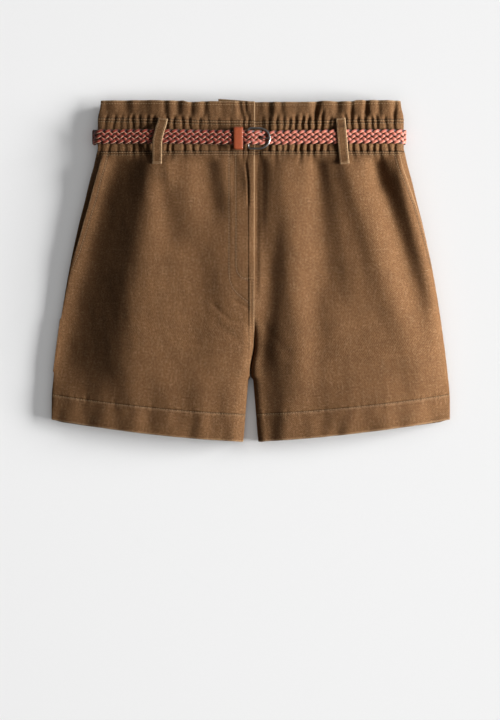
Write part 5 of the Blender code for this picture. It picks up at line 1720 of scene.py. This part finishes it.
class ShortsBuckle(bpy.types.Operator):
    """Make the horseshoe buckle, its prong and the leather keeper."""
    bl_idname = "shorts.buckle"
    bl_label = "Buckle and keeper"

    def execute(self, context):
        middle = CENTRE - BUCKLE_DOWN
        surface = float(ring(BELT_DOWN, "top"))
        self.frame(middle, surface)
        self.prong(middle, surface)
        self.keeper(middle, surface)
        tab = bpy.data.objects["buckle_tab"]
        for slot in tab.material_slots:
            slot.material = leather_finish()
        return {"FINISHED"}

    def frame(self, middle, surface):
        """A closed ring of wire: bar, corners, straight sides and a half-elliptic end."""
        tilt = (END_RISE - BAR_RISE) / (END_X - BAR_X)
        corner, (straight, bent) = FRAME_CORNER, FRAME_STRAIGHT
        bow = np.radians(np.linspace(BOW_TURN, -BOW_TURN, 60))
        plan = np.concatenate([
            arc((BAR_X + corner, FRAME_HALF - corner), corner, 180, 90, 16),
            np.stack([np.linspace(straight, bent, 8), np.full(8, FRAME_HALF)], -1),
            np.stack([BOW_X + (END_X - BOW_X) * np.cos(bow), FRAME_HALF * np.sin(bow)], -1),
            np.stack([np.linspace(bent, straight, 8), np.full(8, -FRAME_HALF)], -1),
            arc((BAR_X + corner, -FRAME_HALF + corner), corner, -90, -180, 16),
            np.stack([np.full(12, BAR_X), np.linspace(-BAR_HALF, BAR_HALF, 12)], -1),
        ])
        rise = surface + BAR_RISE + tilt * (plan[:, 0] - BAR_X)
        path = np.stack([plan[:, 0], middle + plan[:, 1], rise], -1)
        ahead = unit(np.roll(path, -1, axis=0) - np.roll(path, 1, axis=0))
        up = np.broadcast_to(unit(np.array([-tilt, 0.0, 1.0])), path.shape)
        turn = turn_steps(WIRE_SIDES)
        wide = 1.0 + 0.12 * ease(plan[:, 0], 10.0, END_X)
        profile = np.stack(np.broadcast_arrays(
            np.cos(turn)[None, :] * WIRE * wide[:, None], np.sin(turn)[None, :] * WIRE), -1)
        tube("shorts_buckle_frame", path, np.cross(ahead, up), up, profile, True, metal_finish(),
             ("buckle_frame",))

    def prong(self, middle, surface):
        """A wire that curls round the bar and runs up through the braid to the frame's end,
        where it tapers."""
        eye = WIRE + GAP + 0.75
        x = np.linspace(-2.2, PRONG_END, 70)
        z = surface + smooth(x, PRONG_RISE[:, 0], PRONG_RISE[:, 1])
        curl = np.radians(np.linspace(-150, -290, 26))[::-1]
        hook = np.stack([BAR_X + eye * np.cos(curl), surface + BAR_RISE + eye * np.sin(curl)], -1)
        line = np.concatenate([hook[hook[:, 0] < -2.6], np.stack([x, z], -1)])
        line = resampled(line, 0.4)
        path = np.stack([line[:, 0], np.full(len(line), middle), line[:, 1]], -1)
        ahead = unit(np.gradient(path, axis=0))
        aside = np.broadcast_to(np.array([0.0, 1.0, 0.0]), path.shape)
        taper = 1 - 0.38 * ease(path[:, 0], 4.0, PRONG_END)
        taper = taper * np.sqrt(np.clip((PRONG_END + 0.6 - path[:, 0]) / 1.2, 0.02, 1.0))
        turn = turn_steps(WIRE_SIDES)
        profile = np.stack([np.cos(turn), np.sin(turn)], -1)[None] * PRONG_HALF * taper[:, None, None]
        tube("shorts_buckle_prong", path, aside, np.cross(ahead, aside), profile, False, metal_finish(),
             ("buckle_prong",))

    def keeper(self, middle, surface):
        """A flat band closed round both layers of the belt, with bent corners."""
        low = surface + BELT_GAP + KEEPER_LIFT - GAP - KEEPER_WALL / 2
        high = surface + STRAP_HIGH + KEEPER_LIFT + BELT_THICK / 2 + GAP + KEEPER_WALL / 2
        half, bend = KEEPER_HALF - KEEPER_WALL / 2, KEEPER_BEND
        bends = (
            (-half + bend, low + bend, 180), (half - bend, low + bend, 270),
            (half - bend, high - bend, 0), (-half + bend, high - bend, 90),
        )
        loop = np.concatenate([arc((y, z), bend, start, start + 90, 10) for y, z, start in bends])
        loop = resampled(np.concatenate([loop, loop[:1]]), 0.7)[:-1]
        centre_x, long_half = sum(KEEPER_X) / 2, (KEEPER_X[1] - KEEPER_X[0]) / 2
        path = np.stack([np.full(len(loop), centre_x), middle + loop[:, 0], loop[:, 1]], -1)
        ahead = unit(np.roll(path, -1, axis=0) - np.roll(path, 1, axis=0))
        across_dir = np.broadcast_to(np.array([1.0, 0.0, 0.0]), path.shape)
        out = np.cross(ahead, across_dir)
        if (out[:, 2] * (loop[:, 1] - loop[:, 1].mean())).sum() < 0:
            out = -out
        upper = 21
        loop_s, loop_up = strap_section(upper, 3.2, KEEPER_WALL)
        groove = bell(np.abs(loop_s) - 0.80, 0.04) * (np.arange(len(loop_s)) < upper)
        profile = np.stack([loop_s * long_half, loop_up - 0.12 * groove], -1)
        wear = np.broadcast_to(bell(np.abs(loop_s) - 1, 0.05), (len(path), len(loop_s)))
        tube("shorts_belt_keeper", path, across_dir, out, profile, True, leather_finish(),
             ("belt_keeper",), masks={"wear": wear})


# ---------------------------------------------------------------- stage

PICTURE_CENTRE = (-0.0009, -0.1048)  # where the middle of the picture meets the garment
PICTURE_HEIGHT = 0.8424
PICTURE_PLANE = 0.012
SENSOR = 36.0
FAR = 20.0  # metres to the lights from the right
FLOOR_HALF = 4.0
FLOOR_DOWN = 0.0004  # how far the floor lies below the part
SHADE_SHARE = 1.16  # the floor's own light, as a share of what the key light would give it
# name, place, size, whether it lights the floor alone or all else, and y of what it points at
LAMPS = (
    ("side", (0.60, 0.0, 0.28), 0.26, "EXCLUDE", 0.0),
    ("top", (0.0, -0.1, 1.0), 3.0, "INCLUDE", -0.1),
)


class ShortsStageOperator(bpy.types.Operator):
    """Lay out the floor, the lights and the camera above."""
    bl_idname = "shorts.stage"
    bl_label = "Floor, lights and camera"

    def execute(self, context):
        scene, stage = context.scene, context.scene.shorts_stage
        scene.view_settings.view_transform = "Standard"

        mesh = bpy.data.meshes.new("floor")
        signs = ((-1, -1), (1, -1), (1, 1), (-1, 1))
        points = [(x * FLOOR_HALF, y * FLOOR_HALF, -FLOOR_DOWN) for x, y in signs]
        mesh.from_pydata(points, [], [(0, 1, 2, 3)])
        floor = bpy.data.objects.new("floor", mesh)
        scene.collection.objects.link(floor)
        finish, tree, shader = new_finish("pale floor")
        place = wire(tree, "ShaderNodeTexCoord").outputs["Object"]
        grain = wire(tree, "ShaderNodeTexNoise", {"Vector": place, "Scale": 900.0, "Detail": 2.0}).outputs[0]
        shade = blend(tree, grain, rgba(stage.floor, 0.985), rgba(stage.floor, 1.015))
        tree.links.new(shade, shader.inputs["Base Color"])
        shader.inputs["Roughness"].default_value = 0.95
        shader.inputs["Specular IOR Level"].default_value = 0.1
        mesh.materials.append(finish)

        world = bpy.data.worlds.new("studio")
        world.use_nodes = True
        world.node_tree.nodes["Background"].inputs[0].default_value = (1.0, 1.0, 1.0, 1.0)
        world.node_tree.nodes["Background"].inputs[1].default_value = stage.sky
        scene.world = world

        def linked(lamp, state):
            """Let the lamp light the floor alone, or all but the floor."""
            lit = bpy.data.collections.new(lamp.name + " light")
            lit.objects.link(floor)
            lit.collection_objects[0].light_linking.link_state = state
            lamp.light_linking.receiver_collection = lit

        even = stage.key * np.sin(stage.key_height) / np.sin(stage.shade_height)
        sun, strip = bpy.data.lights.new("key", "SUN"), bpy.data.lights.new("shade", "AREA")
        sun.energy, sun.angle = stage.key, stage.key_size
        strip.shape, strip.size, strip.size_y = "RECTANGLE", stage.shade_length * FAR, stage.shade_size * FAR
        strip.energy = even * np.pi * FAR ** 2 * SHADE_SHARE
        for light, height, aside, state in ((sun, stage.key_height, 0.02, "EXCLUDE"),
                                            (strip, stage.shade_height, 0.06, "INCLUDE")):
            lamp = bpy.data.objects.new(light.name, light)
            lamp.location = Vector((np.cos(height), aside, np.sin(height))) * FAR
            lamp.rotation_euler = (-lamp.location).to_track_quat("-Z", "Y").to_euler()
            scene.collection.objects.link(lamp)
            linked(lamp, state)

        for name, place, size, state, aim in LAMPS:
            light = bpy.data.lights.new(name, "AREA")
            light.shape, light.size, light.energy = "DISK", size, getattr(stage, name)
            lamp = bpy.data.objects.new(name, light)
            lamp.location = place
            ahead = Vector((0.0, aim, 0.0)) - lamp.location
            lamp.rotation_euler = ahead.to_track_quat("-Z", "Y").to_euler()
            scene.collection.objects.link(lamp)
            linked(lamp, state)

        lens = bpy.data.cameras.new("camera")
        lens.lens, lens.sensor_width, lens.sensor_fit = stage.lens, SENSOR, "AUTO"
        lens.clip_end = 50.0
        camera = bpy.data.objects.new("camera", lens)
        camera.location = (*PICTURE_CENTRE, PICTURE_PLANE + PICTURE_HEIGHT * stage.lens / SENSOR)
        scene.collection.objects.link(camera)
        scene.camera = camera
        return {"FINISHED"}


# ---------------------------------------------------------------- panel and registration

class ShortsPanel(bpy.types.Panel):
    """The shorts' settings and steps."""
    bl_idname = "SHORTS_PT_make"
    bl_label = "Shorts"
    bl_space_type = "VIEW_3D"
    bl_region_type = "UI"
    bl_category = "Shorts"

    def draw(self, context):
        for name in ("shorts_cloth", "shorts_belt", "shorts_stage"):
            group = getattr(context.scene, name)
            box = self.layout.box()
            for key in group.bl_rna.properties.keys():
                if key not in ("rna_type", "name"):
                    box.prop(group, key)
        for operator in STEPS:
            self.layout.operator(operator.bl_idname)


STEPS = (
    ShortsStageOperator, ShortsBacks, ShortsFronts, ShortsPockets, ShortsWaistband, ShortsLoops,
    ShortsStitching, ShortsBraid, ShortsBuckle,
)
GROUPS = (("shorts_cloth", ShortsCloth), ("shorts_belt", ShortsBelt), ("shorts_stage", ShortsStage))


def register():
    for _, group in GROUPS:
        bpy.utils.register_class(group)
    for name, group in GROUPS:
        setattr(bpy.types.Scene, name, PointerProperty(type=group))
    for operator in STEPS:
        bpy.utils.register_class(operator)
    bpy.utils.register_class(ShortsPanel)


def unregister():
    bpy.utils.unregister_class(ShortsPanel)
    for operator in reversed(STEPS):
        bpy.utils.unregister_class(operator)
    for name, group in reversed(GROUPS):
        delattr(bpy.types.Scene, name)
        bpy.utils.unregister_class(group)


def main():
    register()
    bpy.ops.shorts.stage()
    bpy.ops.shorts.backs()
    bpy.ops.shorts.fronts()
    bpy.ops.shorts.pockets()
    bpy.ops.shorts.waistband()
    bpy.ops.shorts.loops()
    bpy.ops.shorts.stitching()
    bpy.ops.shorts.braid()
    bpy.ops.shorts.buckle()


if __name__ == "__main__":
    main()
